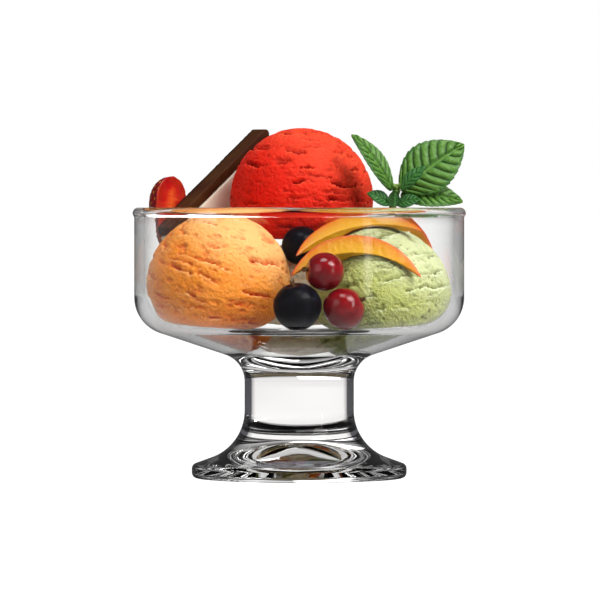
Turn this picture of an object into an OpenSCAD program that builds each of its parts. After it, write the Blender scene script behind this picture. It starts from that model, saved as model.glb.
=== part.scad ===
// Footed parfait glass of clear pressed glass, served with ice cream and fruit.
// Millimetres, +Z up. The origin is the middle of the ring that the foot stands on.
// The front of the serving faces -Y.

/* [Glass] */
// Outside diameter of the bowl's wall
bowl_d = 105; // [98:0.5:115]
// Height of the glass from table to rim
glass_h = 86; // [80:0.5:95]
// Thickness of the bowl's wall
wall_t = 3.1; // [2.4:0.1:4]
// Thickness of the rounded bead along the rim
bead_t = 3.6; // [3.2:0.1:4.6]
// Thickness of the bowl's sloping floor
floor_t = 3; // [2.4:0.1:4.5]
// Rise of the bowl's floor towards the wall, in degrees
floor_slope = 18.4; // [12:0.2:24]
// Outside radius of the bend from floor to wall
bend_r = 12; // [9:0.5:15]
// Radius of the round dish in the middle of the floor
dish_r = 30; // [20:1:45]
// Height at which the bowl's underside meets the stem
neck_h = 37.2; // [34:0.2:41]
// Radius of the fillet between the stem and the bowl
neck_r = 9; // [5:0.5:11]
// Diameter of the stem
stem_d = 34.8; // [30:0.2:40]
// Diameter of the foot
foot_d = 68.4; // [60:0.2:78]
// Thickness of the foot at its edge
foot_t = 4.2; // [3.4:0.1:5.5]
// Rise of the foot's top towards the stem, in degrees
foot_slope = 20; // [14:1:26]
// Radius of the flare from the foot into the stem
flare_r = 16; // [10:0.5:18]
// Rounding of the foot's edge
foot_round = 1.7; // [1:0.1:2]
// Width of the ring that the foot stands on
ring_w = 5; // [3:0.1:8]
// Height of the hollow under the foot
hollow_h = 9; // [6:0.2:12]
// Rounding of the hollow's top
hollow_r = 24; // [16:1:30]

/* [Scoops, lengths as shares of the bowl's diameter] */
// Diameter of the orange scoop
orange_d_share = 0.4343; // [0.381:0.002:0.476]
// How far the orange scoop is pressed into the floor
orange_sink_share = 0.039; // [0.019:0.0005:0.086]
// Where the orange scoop stands round the bowl, in degrees
orange_turn = 196.6; // [185:0.2:205]
// Diameter of the green scoop
green_d_share = 0.4305; // [0.381:0.002:0.476]
// How far the green scoop is pressed into the floor
green_sink_share = 0.0771; // [0.038:0.0005:0.114]
// Where the green scoop stands round the bowl, in degrees
green_turn = -16.7; // [-26:0.2:-6]
// Diameter of the vanilla scoop at the back
vanilla_d_share = 0.3962; // [0.362:0.002:0.438]
// How far the vanilla scoop is pressed into the floor
vanilla_sink_share = 0.0981; // [0.057:0.0005:0.133]
// Where the vanilla scoop stands round the bowl, in degrees
vanilla_turn = 90; // [80:0.5:100]
// Diameter of the red scoop on top
red_d_share = 0.4457; // [0.400:0.002:0.476]
// What the red scoop's flat seat takes off its ball
red_cut_share = 0.099; // [0.067:0.0005:0.133]
// Direction from the orange scoop to the red one, in degrees
red_turn = 47.1; // [42:0.2:54]

/* [Berries, lengths as shares of the bowl's diameter] */
// Diameter of the blackcurrant at the front
black_d_share = 0.1429; // [0.114:0.0005:0.162]
// Room between the front blackcurrant and the bowl's wall
black_room_share = 0.0438; // [0.029:0.0005:0.067]
// Where the front blackcurrant lies round the bowl, in degrees
black_turn = -90.8; // [-95:0.2:-86]
// Diameter of the blackcurrant tucked in behind
rear_black_d_share = 0.1143; // [0.095:0.0005:0.124]
// Diameter of the low redcurrant
low_currant_d_share = 0.1238; // [0.105:0.0005:0.133]
// Room between the low redcurrant and the bowl's wall
low_currant_room_share = 0.041; // [0.029:0.0005:0.067]
// Diameter of the redcurrant on top
top_currant_d_share = 0.1162; // [0.095:0.0005:0.124]
// Lean of the top redcurrant towards the back, in degrees
top_currant_lean = 8; // [0:1:20]
// Length of the dried flower on a berry
tuft_l_share = 0.0152; // [0.010:0.0005:0.023]
// Width of the dried flower on a berry
tuft_d_share = 0.021; // [0.015:0.0005:0.029]

/* [Peach, lengths as shares of the bowl's diameter] */
// Length of a peach slice from tip to tip
peach_w_share = 0.3905; // [0.343:0.005:0.438]
// Height of a peach slice's back above its tips
peach_h_share = 0.1448; // [0.114:0.002:0.171]
// Thickness of the flesh in the middle of a slice
peach_t_share = 0.059; // [0.043:0.0005:0.076]
// Angle that a slice takes from the fruit, in degrees
peach_angle = 27; // [20:1:34]
// Width of a slice's blunted tips
peach_blunt_share = 0.0076; // [0.005:0.0005:0.011]

/* [Strawberry, lengths as shares of the bowl's diameter] */
// Length of the strawberry half
strawberry_l_share = 0.2571; // [0.210:0.005:0.305]
// Diameter of the strawberry half
strawberry_d_share = 0.1429; // [0.124:0.002:0.171]
// Height of the strawberry's shoulder above the rim
strawberry_rise_share = 0.099; // [0.057:0.002:0.133]
// Place of the strawberry along the coconut, back from the red scoop
strawberry_along_share = 0.2667; // [0.210:0.005:0.286]

/* [Coconut, lengths as shares of the bowl's diameter] */
// Length of the coconut slice
coconut_l_share = 0.5905; // [0.495:0.005:0.629]
// Thickness of the coconut slice
coconut_t_share = 0.0571; // [0.038:0.002:0.067]
// Thickness of the brown rind
rind_t_share = 0.0343; // [0.023:0.0005:0.048]
// Width of the white flesh
flesh_w_share = 0.1238; // [0.086:0.005:0.143]
// Slope of the coconut slice, in degrees
coconut_slope = 32.8; // [26:0.2:38]
// Turn of the coconut slice round the red scoop, in degrees
coconut_turn = 51.4; // [46:0.2:55]
// Reach of the coconut slice past the red scoop
coconut_past_share = 0.1238; // [0.076:0.005:0.143]
// Height of the coconut slice's end above the red scoop
coconut_rise_share = 0.0114; // [0.000:0.0005:0.038]
// How far the coconut slice's end is cut back on its inner side
coconut_cut_share = 0.0857; // [0.038:0.005:0.114]
// Rounding of the coconut slice's end
coconut_round_share = 0.0171; // [0.010:0.0005:0.023]

/* [Mint, lengths as shares of the bowl's diameter] */
// Height of the mint sprig's joint above the rim
sprig_rise_share = 0.0534; // [0.038:0.002:0.076]
// Least length of the sprig's stalk
stalk_least_share = 0.0857; // [0.067:0.002:0.114]
// Diameter of the stalk
stalk_d_share = 0.0248; // [0.017:0.0005:0.030]
// Lean of the stalk, in degrees
stalk_lean = 13; // [0:1:20]
// Room between the red scoop's side and the stalk
stalk_room_share = 0.099; // [0.076:0.002:0.124]
// Where the stalk stands round the red scoop, in degrees
stalk_turn = -35.7; // [-42:0.2:-30]
// Thickness of a mint leaf
leaf_t_share = 0.0076; // [0.005:0.0005:0.011]
// Length of the large leaf
large_leaf_l_share = 0.2381; // [0.200:0.005:0.257]
// Width of the large leaf
large_leaf_w_share = 0.1619; // [0.114:0.005:0.181]
// Length of the left leaf
left_leaf_l_share = 0.2095; // [0.171:0.005:0.238]
// Width of the left leaf
left_leaf_w_share = 0.0857; // [0.057:0.005:0.105]
// Length of the low leaf
low_leaf_l_share = 0.1905; // [0.152:0.005:0.200]
// Width of the low leaf
low_leaf_w_share = 0.1048; // [0.076:0.005:0.124]
// Length of the young leaf
young_leaf_l_share = 0.1048; // [0.076:0.005:0.124]
// Width of the young leaf
young_leaf_w_share = 0.0476; // [0.033:0.0005:0.062]
// Diameter of the bud among the leaves
bud_d_share = 0.0324; // [0.025:0.0005:0.042]

/* [Clearance] */
// Gap between pieces that lie against each other
fit_gap = 0.3; // [0.2:0.05:0.5]

/* [Hidden] */
$fn = 96;

// Lengths of the serving, worked out from the bowl
orange_d = bowl_d * orange_d_share;
orange_sink = bowl_d * orange_sink_share;
green_d = bowl_d * green_d_share;
green_sink = bowl_d * green_sink_share;
vanilla_d = bowl_d * vanilla_d_share;
vanilla_sink = bowl_d * vanilla_sink_share;
red_d = bowl_d * red_d_share;
red_cut = bowl_d * red_cut_share;
black_d = bowl_d * black_d_share;
black_room = bowl_d * black_room_share;
rear_black_d = bowl_d * rear_black_d_share;
low_currant_d = bowl_d * low_currant_d_share;
low_currant_room = bowl_d * low_currant_room_share;
top_currant_d = bowl_d * top_currant_d_share;
tuft_l = bowl_d * tuft_l_share;
tuft_d = bowl_d * tuft_d_share;
peach_w = bowl_d * peach_w_share;
peach_h = bowl_d * peach_h_share;
peach_t = bowl_d * peach_t_share;
peach_blunt = bowl_d * peach_blunt_share;
strawberry_l = bowl_d * strawberry_l_share;
strawberry_d = bowl_d * strawberry_d_share;
strawberry_rise = bowl_d * strawberry_rise_share;
strawberry_along = bowl_d * strawberry_along_share;
coconut_l = bowl_d * coconut_l_share;
coconut_t = bowl_d * coconut_t_share;
rind_t = bowl_d * rind_t_share;
flesh_w = bowl_d * flesh_w_share;
coconut_past = bowl_d * coconut_past_share;
coconut_rise = bowl_d * coconut_rise_share;
coconut_cut = bowl_d * coconut_cut_share;
coconut_round = bowl_d * coconut_round_share;
sprig_rise = bowl_d * sprig_rise_share;
stalk_least = bowl_d * stalk_least_share;
stalk_d = bowl_d * stalk_d_share;
stalk_room = bowl_d * stalk_room_share;
leaf_t = bowl_d * leaf_t_share;
large_leaf_l = bowl_d * large_leaf_l_share;
large_leaf_w = bowl_d * large_leaf_w_share;
left_leaf_l = bowl_d * left_leaf_l_share;
left_leaf_w = bowl_d * left_leaf_w_share;
low_leaf_l = bowl_d * low_leaf_l_share;
low_leaf_w = bowl_d * low_leaf_w_share;
young_leaf_l = bowl_d * young_leaf_l_share;
young_leaf_w = bowl_d * young_leaf_w_share;
bud_d = bowl_d * bud_d_share;

// Radii that the glass is worked out from
bowl_r = bowl_d / 2;
inner_r = bowl_r - wall_t;
stem_r = stem_d / 2;
foot_r = foot_d / 2;
bead_r = bead_t / 2;
// One overrun serves every cut and every lift path
reach = glass_h;

// Height of the bowl's underside and of its floor, at a distance from the axis
function under_z(r) = neck_h + (r - stem_r) * tan(floor_slope);
function floor_z(r, gap = 0) = under_z(r) + (floor_t + gap) / cos(floor_slope);

// Where the two fillets run out on the stem
neck_low = neck_h - neck_r / tan((90 + floor_slope) / 2);
flare_base = foot_t + (foot_r - stem_r) * tan(foot_slope);
flare_top = flare_base + flare_r / tan((90 + foot_slope) / 2);

// Corner rounding: tangent points and centre of an arc of radius r at point b between a and c
function unit(v) = v / norm(v);
function half_turn(a, b, c) = acos(unit(a - b) * unit(c - b)) / 2;
function tangent(a, b, c, r) = b + unit(a - b) * r / tan(half_turn(a, b, c));
function arc_centre(a, b, c, r) = b + unit(unit(a - b) + unit(c - b)) * r / sin(half_turn(a, b, c));
function turns_left(a, b, c) = cross(b - a, c - b) > 0;
function round_points(p, r) = let (n = len(p)) [
  for (i = [0 : n - 1], k = [0, 1])
    let (a = p[(i + n - 1) % n], b = p[i], c = p[(i + 1) % n])
      if (r[i] > 0 || k == 0)
        r[i] > 0 ? (k == 0 ? tangent(a, b, c, r[i]) : tangent(c, b, a, r[i])) : b
];

// An outline given by its corners, anticlockwise, with a rounding for each
module rounded(p, r) {
  n = len(p);
  difference() {
    union() {
      polygon(round_points(p, r));
      for (i = [0 : n - 1])
        let (a = p[(i + n - 1) % n], b = p[i], c = p[(i + 1) % n])
          if (r[i] > 0 && turns_left(a, b, c)) translate(arc_centre(a, b, c, r[i])) circle(r[i]);
    }
    for (i = [0 : n - 1])
      let (a = p[(i + n - 1) % n], b = p[i], c = p[(i + 1) % n])
        if (r[i] > 0 && !turns_left(a, b, c)) translate(arc_centre(a, b, c, r[i])) circle(r[i]);
  }
}

// The room inside the bowl, drawn in by a gap from the glass, up to a height
module room_outline(gap, top) {
  wall = inner_r - gap;
  dish = dish_r - gap;
  dish_edge = dish * sin(floor_slope);
  dish_z = floor_z(dish_edge, gap);
  rounded(
    [[0, dish_z], [dish_edge, dish_z], [wall, floor_z(wall, gap)], [wall, top], [0, top]],
    [0, 0, bend_r - wall_t - gap, 0, 0]
  );
  intersection() {
    translate([0, dish_z + dish * cos(floor_slope)]) circle(dish);
    translate([0, dish_z - dish]) square([dish_edge, dish]);
  }
}

// Where food may lie: inside the bowl, and anywhere above its rim
module free_room() {
  rotate_extrude() room_outline(fit_gap, glass_h + reach);
  translate([0, 0, glass_h + fit_gap]) cylinder(r = bowl_r + reach, h = reach);
}

// A ball is a centre and a radius
function at(turn, r, z) = [r * cos(turn), r * sin(turn), z];
function ball_on_floor(turn, d, sink) = let (r = inner_r - fit_gap - d / 2)
  [at(turn, r, floor_z(r) + d / 2 - sink), d / 2];
function berry_on_floor(turn, d, room) = let (r = inner_r - room - d / 2)
  [at(turn, r, floor_z(r) + (d / 2 + fit_gap) / cos(floor_slope)), d / 2];
function touch(a, b) = a[1] + b + fit_gap;

ORANGE = ball_on_floor(orange_turn, orange_d, orange_sink);
GREEN = ball_on_floor(green_turn, green_d, green_sink);
VANILLA = ball_on_floor(vanilla_turn, vanilla_d, vanilla_sink);

// The red scoop sits flat on the vanilla scoop and leans on the orange one
red_r = red_d / 2;
red_seat = VANILLA[0].z + VANILLA[1] + fit_gap;
red_z = red_seat + red_r - red_cut;
red_away = sqrt(max(0, touch(ORANGE, red_r) ^ 2 - (red_z - ORANGE[0].z) ^ 2));
RED = [[ORANGE[0].x, ORANGE[0].y, 0] + at(red_turn, red_away, red_z), red_r];

// The two front berries lie side by side on the floor
BLACK = berry_on_floor(black_turn, black_d, black_room);
low_r = inner_r - low_currant_room - low_currant_d / 2;
black_away = norm([BLACK[0].x, BLACK[0].y]);
low_z = berry_on_floor(0, low_currant_d, low_currant_room)[0].z;
low_apart = sqrt(max(0, touch(BLACK, low_currant_d / 2) ^ 2 - (low_z - BLACK[0].z) ^ 2));
low_step = acos((black_away ^ 2 + low_r ^ 2 - low_apart ^ 2) / (2 * black_away * low_r));
LOW = berry_on_floor(black_turn + low_step, low_currant_d, low_currant_room);

// The top redcurrant rests on both of them
pair = LOW[0] - BLACK[0];
pair_l = norm(pair);
top_black = touch(BLACK, top_currant_d / 2);
top_low = touch(LOW, top_currant_d / 2);
top_along = (top_black ^ 2 - top_low ^ 2 + pair_l ^ 2) / (2 * pair_l);
top_up = sqrt(max(0, top_black ^ 2 - top_along ^ 2));
top_back = unit(cross([0, 0, 1], pair));
top_dir = unit(cross(pair, top_back));
TOP = [
  BLACK[0] + unit(pair) * top_along
    + top_up * (top_dir * cos(top_currant_lean) + top_back * sin(top_currant_lean)),
  top_currant_d / 2
];

// The rear blackcurrant touches the orange, green and red scoops, in front of the red one
function trilaterate(p1, r1, p2, r2, p3, r3) =
  let (ex = unit(p2 - p1), i = ex * (p3 - p1), ey = unit(p3 - p1 - i * ex), ez = cross(ex, ey),
    d = norm(p2 - p1), j = ey * (p3 - p1),
    x = (r1 ^ 2 - r2 ^ 2 + d ^ 2) / (2 * d),
    y = (r1 ^ 2 - r3 ^ 2 + i ^ 2 + j ^ 2) / (2 * j) - i / j * x,
    z = sqrt(max(0, r1 ^ 2 - x ^ 2 - y ^ 2)),
    u = p1 + x * ex + y * ey + z * ez, v = p1 + x * ex + y * ey - z * ez)
  u.y < v.y ? u : v;
rear_r = rear_black_d / 2;
REAR = [
  trilaterate(ORANGE[0], touch(ORANGE, rear_r), GREEN[0], touch(GREEN, rear_r), RED[0], touch(RED, rear_r)),
  rear_r
];

module ball(b, grow = 0) translate(b[0]) sphere(b[1] + grow);

// The room that a ball sweeps when it is lifted straight out
module lift_path(b) {
  ball(b, fit_gap);
  translate(b[0]) cylinder(r = b[1] + fit_gap, h = reach);
}

// The room over which nothing may lie lower than a ball's middle, so that it lifts clear of it
module drop_path(b) {
  ball(b, fit_gap);
  translate(b[0] - [0, 0, reach]) cylinder(r = b[1] + fit_gap, h = reach);
}

// What lies on the scoops is shaped to them
module on_scoops() {
  difference() {
    intersection() {
      children();
      free_room();
    }
    drop_path(ORANGE);
    drop_path(GREEN);
    drop_path(VANILLA);
    drop_path(REAR);
    lift_path(RED);
    lift_path(BLACK);
    lift_path(LOW);
    lift_path(TOP);
  }
}

// A scoop pressed into the bowl gives way to the glass and to the berries in front
module pressed_scoop(b) {
  difference() {
    intersection() {
      ball(b);
      free_room();
    }
    lift_path(BLACK);
    lift_path(LOW);
    lift_path(TOP);
    ball(REAR, fit_gap);
  }
}

// Body of the glass below the rim, as a solid of revolution without its room
module glass_outline(low, high) {
  intersection() {
    union() {
      rounded(
        [[0, neck_low], [stem_r, neck_low], [stem_r, neck_h], [bowl_r, under_z(bowl_r)],
          [bowl_r, glass_h - bead_r], [0, glass_h - bead_r]],
        [0, 0, neck_r, bend_r, 0, 0]
      );
      translate([0, flare_top]) square([stem_r, neck_low - flare_top]);
      rounded(
        [[0, 0], [foot_r, 0], [foot_r, foot_t], [stem_r, flare_base], [stem_r, flare_top], [0, flare_top]],
        [0, foot_round, foot_round, flare_r, 0, 0]
      );
    }
    translate([0, low]) square([bowl_r, high - low]);
  }
}

module bowl() color([0.93, 0.95, 0.96, 0.5]) rotate_extrude() {
  difference() {
    glass_outline(neck_low, glass_h);
    room_outline(0, glass_h + reach);
  }
  translate([inner_r + bead_r, glass_h - bead_r]) circle(bead_r);
}

module stem() color([0.93, 0.95, 0.96, 0.5]) rotate_extrude() glass_outline(flare_top, neck_low);

module foot() color([0.93, 0.95, 0.96, 0.5]) rotate_extrude() difference() {
  glass_outline(0, flare_top);
  hollow_edge = foot_r - foot_round - ring_w;
  intersection() {
    rounded(
      [[-hollow_edge, -reach], [hollow_edge, -reach], [hollow_edge, 0], [0, hollow_h], [-hollow_edge, 0]],
      [0, 0, 0, hollow_r, 0]
    );
    translate([0, -reach]) square([foot_r, reach + hollow_h]);
  }
}

module orange_scoop() color([0.96, 0.66, 0.28]) pressed_scoop(ORANGE);

module green_scoop() color([0.73, 0.78, 0.45]) difference() {
  pressed_scoop(GREEN);
  ball(ORANGE, fit_gap);
  lift_path(RED);
}

module vanilla_scoop() color([0.95, 0.9, 0.78]) difference() {
  pressed_scoop(VANILLA);
  ball(ORANGE, fit_gap);
  ball(GREEN, fit_gap);
  translate([RED[0].x, RED[0].y, red_seat - fit_gap]) cylinder(r = RED[1] + fit_gap, h = reach);
}

module red_scoop() color([0.9, 0.2, 0.13]) difference() {
  ball(RED);
  translate([RED[0].x, RED[0].y, red_seat - reach]) cylinder(r = RED[1] + reach, h = reach);
}

// A berry with the dried flower at its end, which points along a direction
tuft_sink = tuft_l / 2;
module berry(b, aim) {
  ball(b);
  translate(b[0]) rotate([0, acos(unit(aim).z), atan2(aim.y, aim.x)])
    translate([0, 0, b[1] - tuft_sink]) cylinder(d1 = tuft_d / 2, d2 = tuft_d, h = tuft_sink + tuft_l / 2, $fn = 24);
}

// Directions of the dried flowers, as shares of X, Y and Z
black_aim_share = [-0.2, -0.3, 0.93];
low_aim_share = [0.9, -0.2, 0.4];
top_aim_share = [-0.95, -0.2, 0.1];

module blackcurrant() color([0.1, 0.09, 0.13]) berry(BLACK, black_aim_share);
module blackcurrant_rear() color([0.1, 0.09, 0.13]) ball(REAR);
module currant_low() color([0.6, 0.05, 0.1]) berry(LOW, low_aim_share);
module currant_top() color([0.6, 0.05, 0.1]) berry(TOP, top_aim_share);

// A slice of peach: its tips lie on the X axis, its back points to +Z, and it grows from +Y lean to -Y
function arc_r(w, h) = (w ^ 2 / 4 + h ^ 2) / (2 * h);
module peach_slice() {
  back_r = arc_r(peach_w, peach_h);
  core_h = peach_h - peach_t;
  core_r = arc_r(peach_w, core_h);
  rotate([0, 90, 0]) rotate([0, 0, 180]) rotate_extrude(angle = peach_angle) intersection() {
    difference() {
      translate([peach_h - back_r, 0]) circle(back_r);
      translate([core_h - core_r, 0]) circle(core_r);
    }
    translate([peach_blunt, -peach_w / 2]) square([peach_h, peach_w]);
  }
}

// Leans of the slices' back faces, from upright, in degrees
front_lean = 47;
upper_lean = 76;
upper_roll = 11.3;
rear_turn = 28;
// Places of the slices' tips from the green scoop's middle, as shares of its radius
front_place_shares = [-0.36, -1.0, 0.24];
upper_place_shares = [-0.3, -0.57, 0.72];

module peach_front() color([0.93, 0.62, 0.16]) on_scoops()
  translate(GREEN[0] + GREEN[1] * front_place_shares) rotate([-front_lean, 0, 0]) peach_slice();

module peach_upper() color([0.9, 0.6, 0.17]) on_scoops()
  translate(GREEN[0] + GREEN[1] * upper_place_shares) rotate([0, -upper_roll, 0])
    rotate([-upper_lean, 0, 0]) peach_slice();

rear_r_place = inner_r - fit_gap - peach_h;
module peach_rear() color([0.86, 0.6, 0.36]) on_scoops()
  translate(at(rear_turn, rear_r_place, floor_z(rear_r_place) + peach_w / 2 - peach_blunt))
    rotate([0, 0, rear_turn]) rotate([0, 90, 0]) rotate([peach_angle / 2, 0, 0]) peach_slice();

// Frame of the coconut slice: its face stands off the red scoop's lift path
coconut_away = [-sin(coconut_turn), cos(coconut_turn), 0];
module beside_red(depth, t)
  translate([RED[0].x, RED[0].y, 0] + coconut_away * (RED[1] + fit_gap + depth + t))
    rotate([90, 0, coconut_turn]) linear_extrude(t) children();

coconut_top_z = RED[0].z + RED[1] + coconut_rise;
function coconut_end(from_edge) = -coconut_cut * from_edge / (rind_t + flesh_w);
module coconut_strip(from_edge, w, round_out, round_in) beside_red(0, coconut_t)
  translate([coconut_past, coconut_top_z]) rotate(coconut_slope) rounded(
    [[-coconut_l, -from_edge - w], [coconut_end(from_edge + w), -from_edge - w],
      [coconut_end(from_edge), -from_edge], [-coconut_l, -from_edge]],
    [0, round_in, round_out, 0]
  );

module coconut_flesh() color([0.93, 0.9, 0.84]) on_scoops() coconut_strip(rind_t, flesh_w, 0, coconut_round);
module coconut_rind() color([0.25, 0.12, 0.07]) on_scoops()
  coconut_strip(0, rind_t, min(coconut_round, rind_t / 2), 0);

// Half a strawberry, its cut face towards the coconut slice, shoulder up
shoulder_share = 0.3;
strawberry_steps = 24;
function strawberry_half_w(t) = t < shoulder_share
  ? sqrt(1 - ((shoulder_share - t) / shoulder_share) ^ 2)
  : cos(90 * ((t - shoulder_share) / (1 - shoulder_share)) ^ 1.5) ^ 0.8;
strawberry_lean = 8;
module strawberry_half() color([0.84, 0.16, 0.1]) on_scoops()
  translate([RED[0].x, RED[0].y, glass_h + strawberry_rise]
    + coconut_away * (RED[1] + coconut_t + 2 * fit_gap)
    - [cos(coconut_turn), sin(coconut_turn), 0] * strawberry_along)
    rotate([0, 0, coconut_turn]) rotate([0, strawberry_lean, 0])
      rotate_extrude(angle = 180) polygon([
        for (i = [0 : strawberry_steps])
          let (t = i / strawberry_steps)
            [strawberry_d / 2 * max(0, strawberry_half_w(t)), -strawberry_l * t]
      ]);

// The mint sprig stands on the green scoop, beside the red one
mint_xy = [RED[0].x, RED[0].y, 0] + at(stalk_turn, RED[1] + stalk_room, 0);
mint_off = norm([mint_xy.x - GREEN[0].x, mint_xy.y - GREEN[0].y]);
mint_foot_z = GREEN[0].z + sqrt(max(0, (GREEN[1] + fit_gap) ^ 2 - max(0, mint_off - stalk_d / 2) ^ 2));
MINT = [mint_xy.x, mint_xy.y, mint_foot_z];
stalk_l = max(stalk_least, (glass_h + sprig_rise - MINT.z) / cos(stalk_lean));
MINT_TOP = MINT + stalk_l * [sin(stalk_lean), 0, cos(stalk_lean)];

module mint_stalk() color([0.45, 0.6, 0.3]) translate(MINT) rotate([0, stalk_lean, 0])
  difference() {
    cylinder(d = stalk_d, h = stalk_l, $fn = 32);
    rotate([0, -stalk_lean, 0]) translate([0, 0, -reach]) cylinder(d = stalk_d + reach, h = reach);
  }

bud_sink = bud_d / 4;
module mint_bud() color([0.62, 0.72, 0.4]) difference() {
  translate(MINT_TOP + [0, 0, bud_d / 2 - bud_sink]) sphere(d = bud_d, $fn = 32);
  translate(MINT) rotate([0, stalk_lean, 0]) cylinder(d = stalk_d, h = stalk_l, $fn = 32);
}

// A toothed mint leaf along +X from its stalk, face to +Z, arched over a radius
teeth_share = 0.05;
leaf_teeth = 9;
leaf_arch_share = 1.6;
function leaf_half_w(t) = sin(180 * t ^ 0.85) ^ 0.75;
function leaf_edge(l, w, side) = [
  for (i = [0 : 2 * leaf_teeth])
    let (k = side > 0 ? i : 2 * leaf_teeth - i, t = k / (2 * leaf_teeth),
      tooth = 1 + teeth_share * (k % 2 == 0 ? -1 : 1))
      [l * t, side * w / 2 * max(teeth_share, leaf_half_w(t)) * tooth]
];
module leaf(l, w) {
  arch = l * leaf_arch_share;
  intersection() {
    translate([0, 0, -arch]) linear_extrude(arch + l) polygon(concat(leaf_edge(l, w, -1), leaf_edge(l, w, 1)));
    translate([l / 2, 0, -arch]) rotate([90, 0, 0]) difference() {
      cylinder(r = arch + leaf_t / 2, h = w + reach, center = true);
      cylinder(r = arch - leaf_t / 2, h = w + 2 * reach, center = true);
    }
  }
}

// A leaf on the sprig: a turn about the vertical, a rise, a roll about its own length, and a start
module sprig_leaf(l, w, turn, rise, roll, start) translate(MINT_TOP + start)
  rotate([0, 0, turn]) rotate([0, -rise, 0]) rotate([roll, 0, 0])
    translate([0, 0, l * leaf_arch_share * (1 - cos(asin(1 / (2 * leaf_arch_share))))]) leaf(l, w);

stalk_r = stalk_d / 2;
module mint_leaf_large() color([0.24, 0.45, 0.2]) difference() {
  sprig_leaf(large_leaf_l, large_leaf_w, 4, 36, 72, [stalk_r, stalk_r, 0]);
  mint_core();
}
module mint_leaf_left() color([0.22, 0.42, 0.18]) difference() {
  sprig_leaf(left_leaf_l, left_leaf_w, 190, 54, -48, [-stalk_r, -stalk_r / 2, 0]);
  mint_core();
}
module mint_leaf_low() color([0.2, 0.42, 0.19]) difference() {
  sprig_leaf(low_leaf_l, low_leaf_w, -5, -6, 45, [stalk_r, 2 * stalk_r, -stalk_r]);
  mint_core();
}
module mint_leaf_young() color([0.3, 0.52, 0.24]) difference() {
  sprig_leaf(young_leaf_l, young_leaf_w, -14, 44, 64, [stalk_r, -2 * stalk_r, 0]);
  mint_core();
}

// What the leaves grow from, kept out of them
module mint_core() {
  translate(MINT) rotate([0, stalk_lean, 0]) cylinder(d = stalk_d, h = stalk_l, $fn = 32);
  translate(MINT_TOP + [0, 0, bud_d / 2 - bud_sink]) sphere(d = bud_d, $fn = 32);
}

bowl();
stem();
foot();
orange_scoop();
green_scoop();
vanilla_scoop();
red_scoop();
blackcurrant();
blackcurrant_rear();
currant_low();
currant_top();
peach_front();
peach_upper();
peach_rear();
strawberry_half();
coconut_flesh();
coconut_rind();
mint_stalk();
mint_bud();
mint_leaf_large();
mint_leaf_left();
mint_leaf_low();
mint_leaf_young();
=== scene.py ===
"""Footed parfait glass of clear pressed glass, dressed with its serving of ice cream and fruit."""

import logging
import math
from dataclasses import dataclass
from enum import Enum
from typing import Sequence

import bmesh
import bpy
import numpy as np
from mathutils import Matrix, Vector
from mathutils.kdtree import KDTree


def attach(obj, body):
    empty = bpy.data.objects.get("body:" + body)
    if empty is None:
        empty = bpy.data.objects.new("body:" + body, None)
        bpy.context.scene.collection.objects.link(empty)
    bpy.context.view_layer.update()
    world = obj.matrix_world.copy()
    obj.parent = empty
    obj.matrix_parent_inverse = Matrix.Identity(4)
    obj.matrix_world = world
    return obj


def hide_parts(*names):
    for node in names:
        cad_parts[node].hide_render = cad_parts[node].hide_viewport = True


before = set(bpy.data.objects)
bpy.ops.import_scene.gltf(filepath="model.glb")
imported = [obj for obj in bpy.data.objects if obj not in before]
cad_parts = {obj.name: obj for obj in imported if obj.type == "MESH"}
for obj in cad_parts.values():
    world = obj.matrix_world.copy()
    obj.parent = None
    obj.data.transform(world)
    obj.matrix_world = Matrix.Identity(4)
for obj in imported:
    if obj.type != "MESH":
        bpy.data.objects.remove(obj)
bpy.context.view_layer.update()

LOG = logging.getLogger("parfait")
# A millimetre in metres, and the gap in millimetres below which two points are one
MM = 0.001
WELD = 0.002
# Entries in the tables of the noise, a power of two
CELLS = 256
# Turn from one seed of a spiral to the next, as a share of a full turn
GOLDEN_SHARE = 0.381966
Colour = tuple[float, float, float]
Point = tuple[float, float, float]
Pair = tuple[float, float]
Ends = tuple[object, object]
Piece = bpy.types.Object
Socket = bpy.types.NodeSocket
BLACK: Colour = (0.0, 0.0, 0.0)
WHITE: Colour = (1.0, 1.0, 1.0)


def srgb(red: float, green: float, blue: float) -> Colour:
    """Turns a screen colour into a linear one.

    Args:
        red: Red from 0 to 255.
        green: Green from 0 to 255.
        blue: Blue from 0 to 255.

    Returns:
        The three linear values.
    """
    share = [c / 255 for c in (red, green, blue)]
    linear = [c / 12.92 if c <= 0.04045 else ((c + 0.055) / 1.055) ** 2.4 for c in share]
    return (linear[0], linear[1], linear[2])


def ease(low: float, high: float, value: np.ndarray) -> np.ndarray:
    """Rises smoothly from 0 at low to 1 at high.

    Args:
        low: Where the rise starts; it may be above high for a fall.
        high: Where the rise ends.
        value: Numbers to ease.

    Returns:
        Numbers from 0 to 1.
    """
    t = np.clip((value - low) / (high - low), 0.0, 1.0)
    return t * t * (3 - 2 * t)


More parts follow.
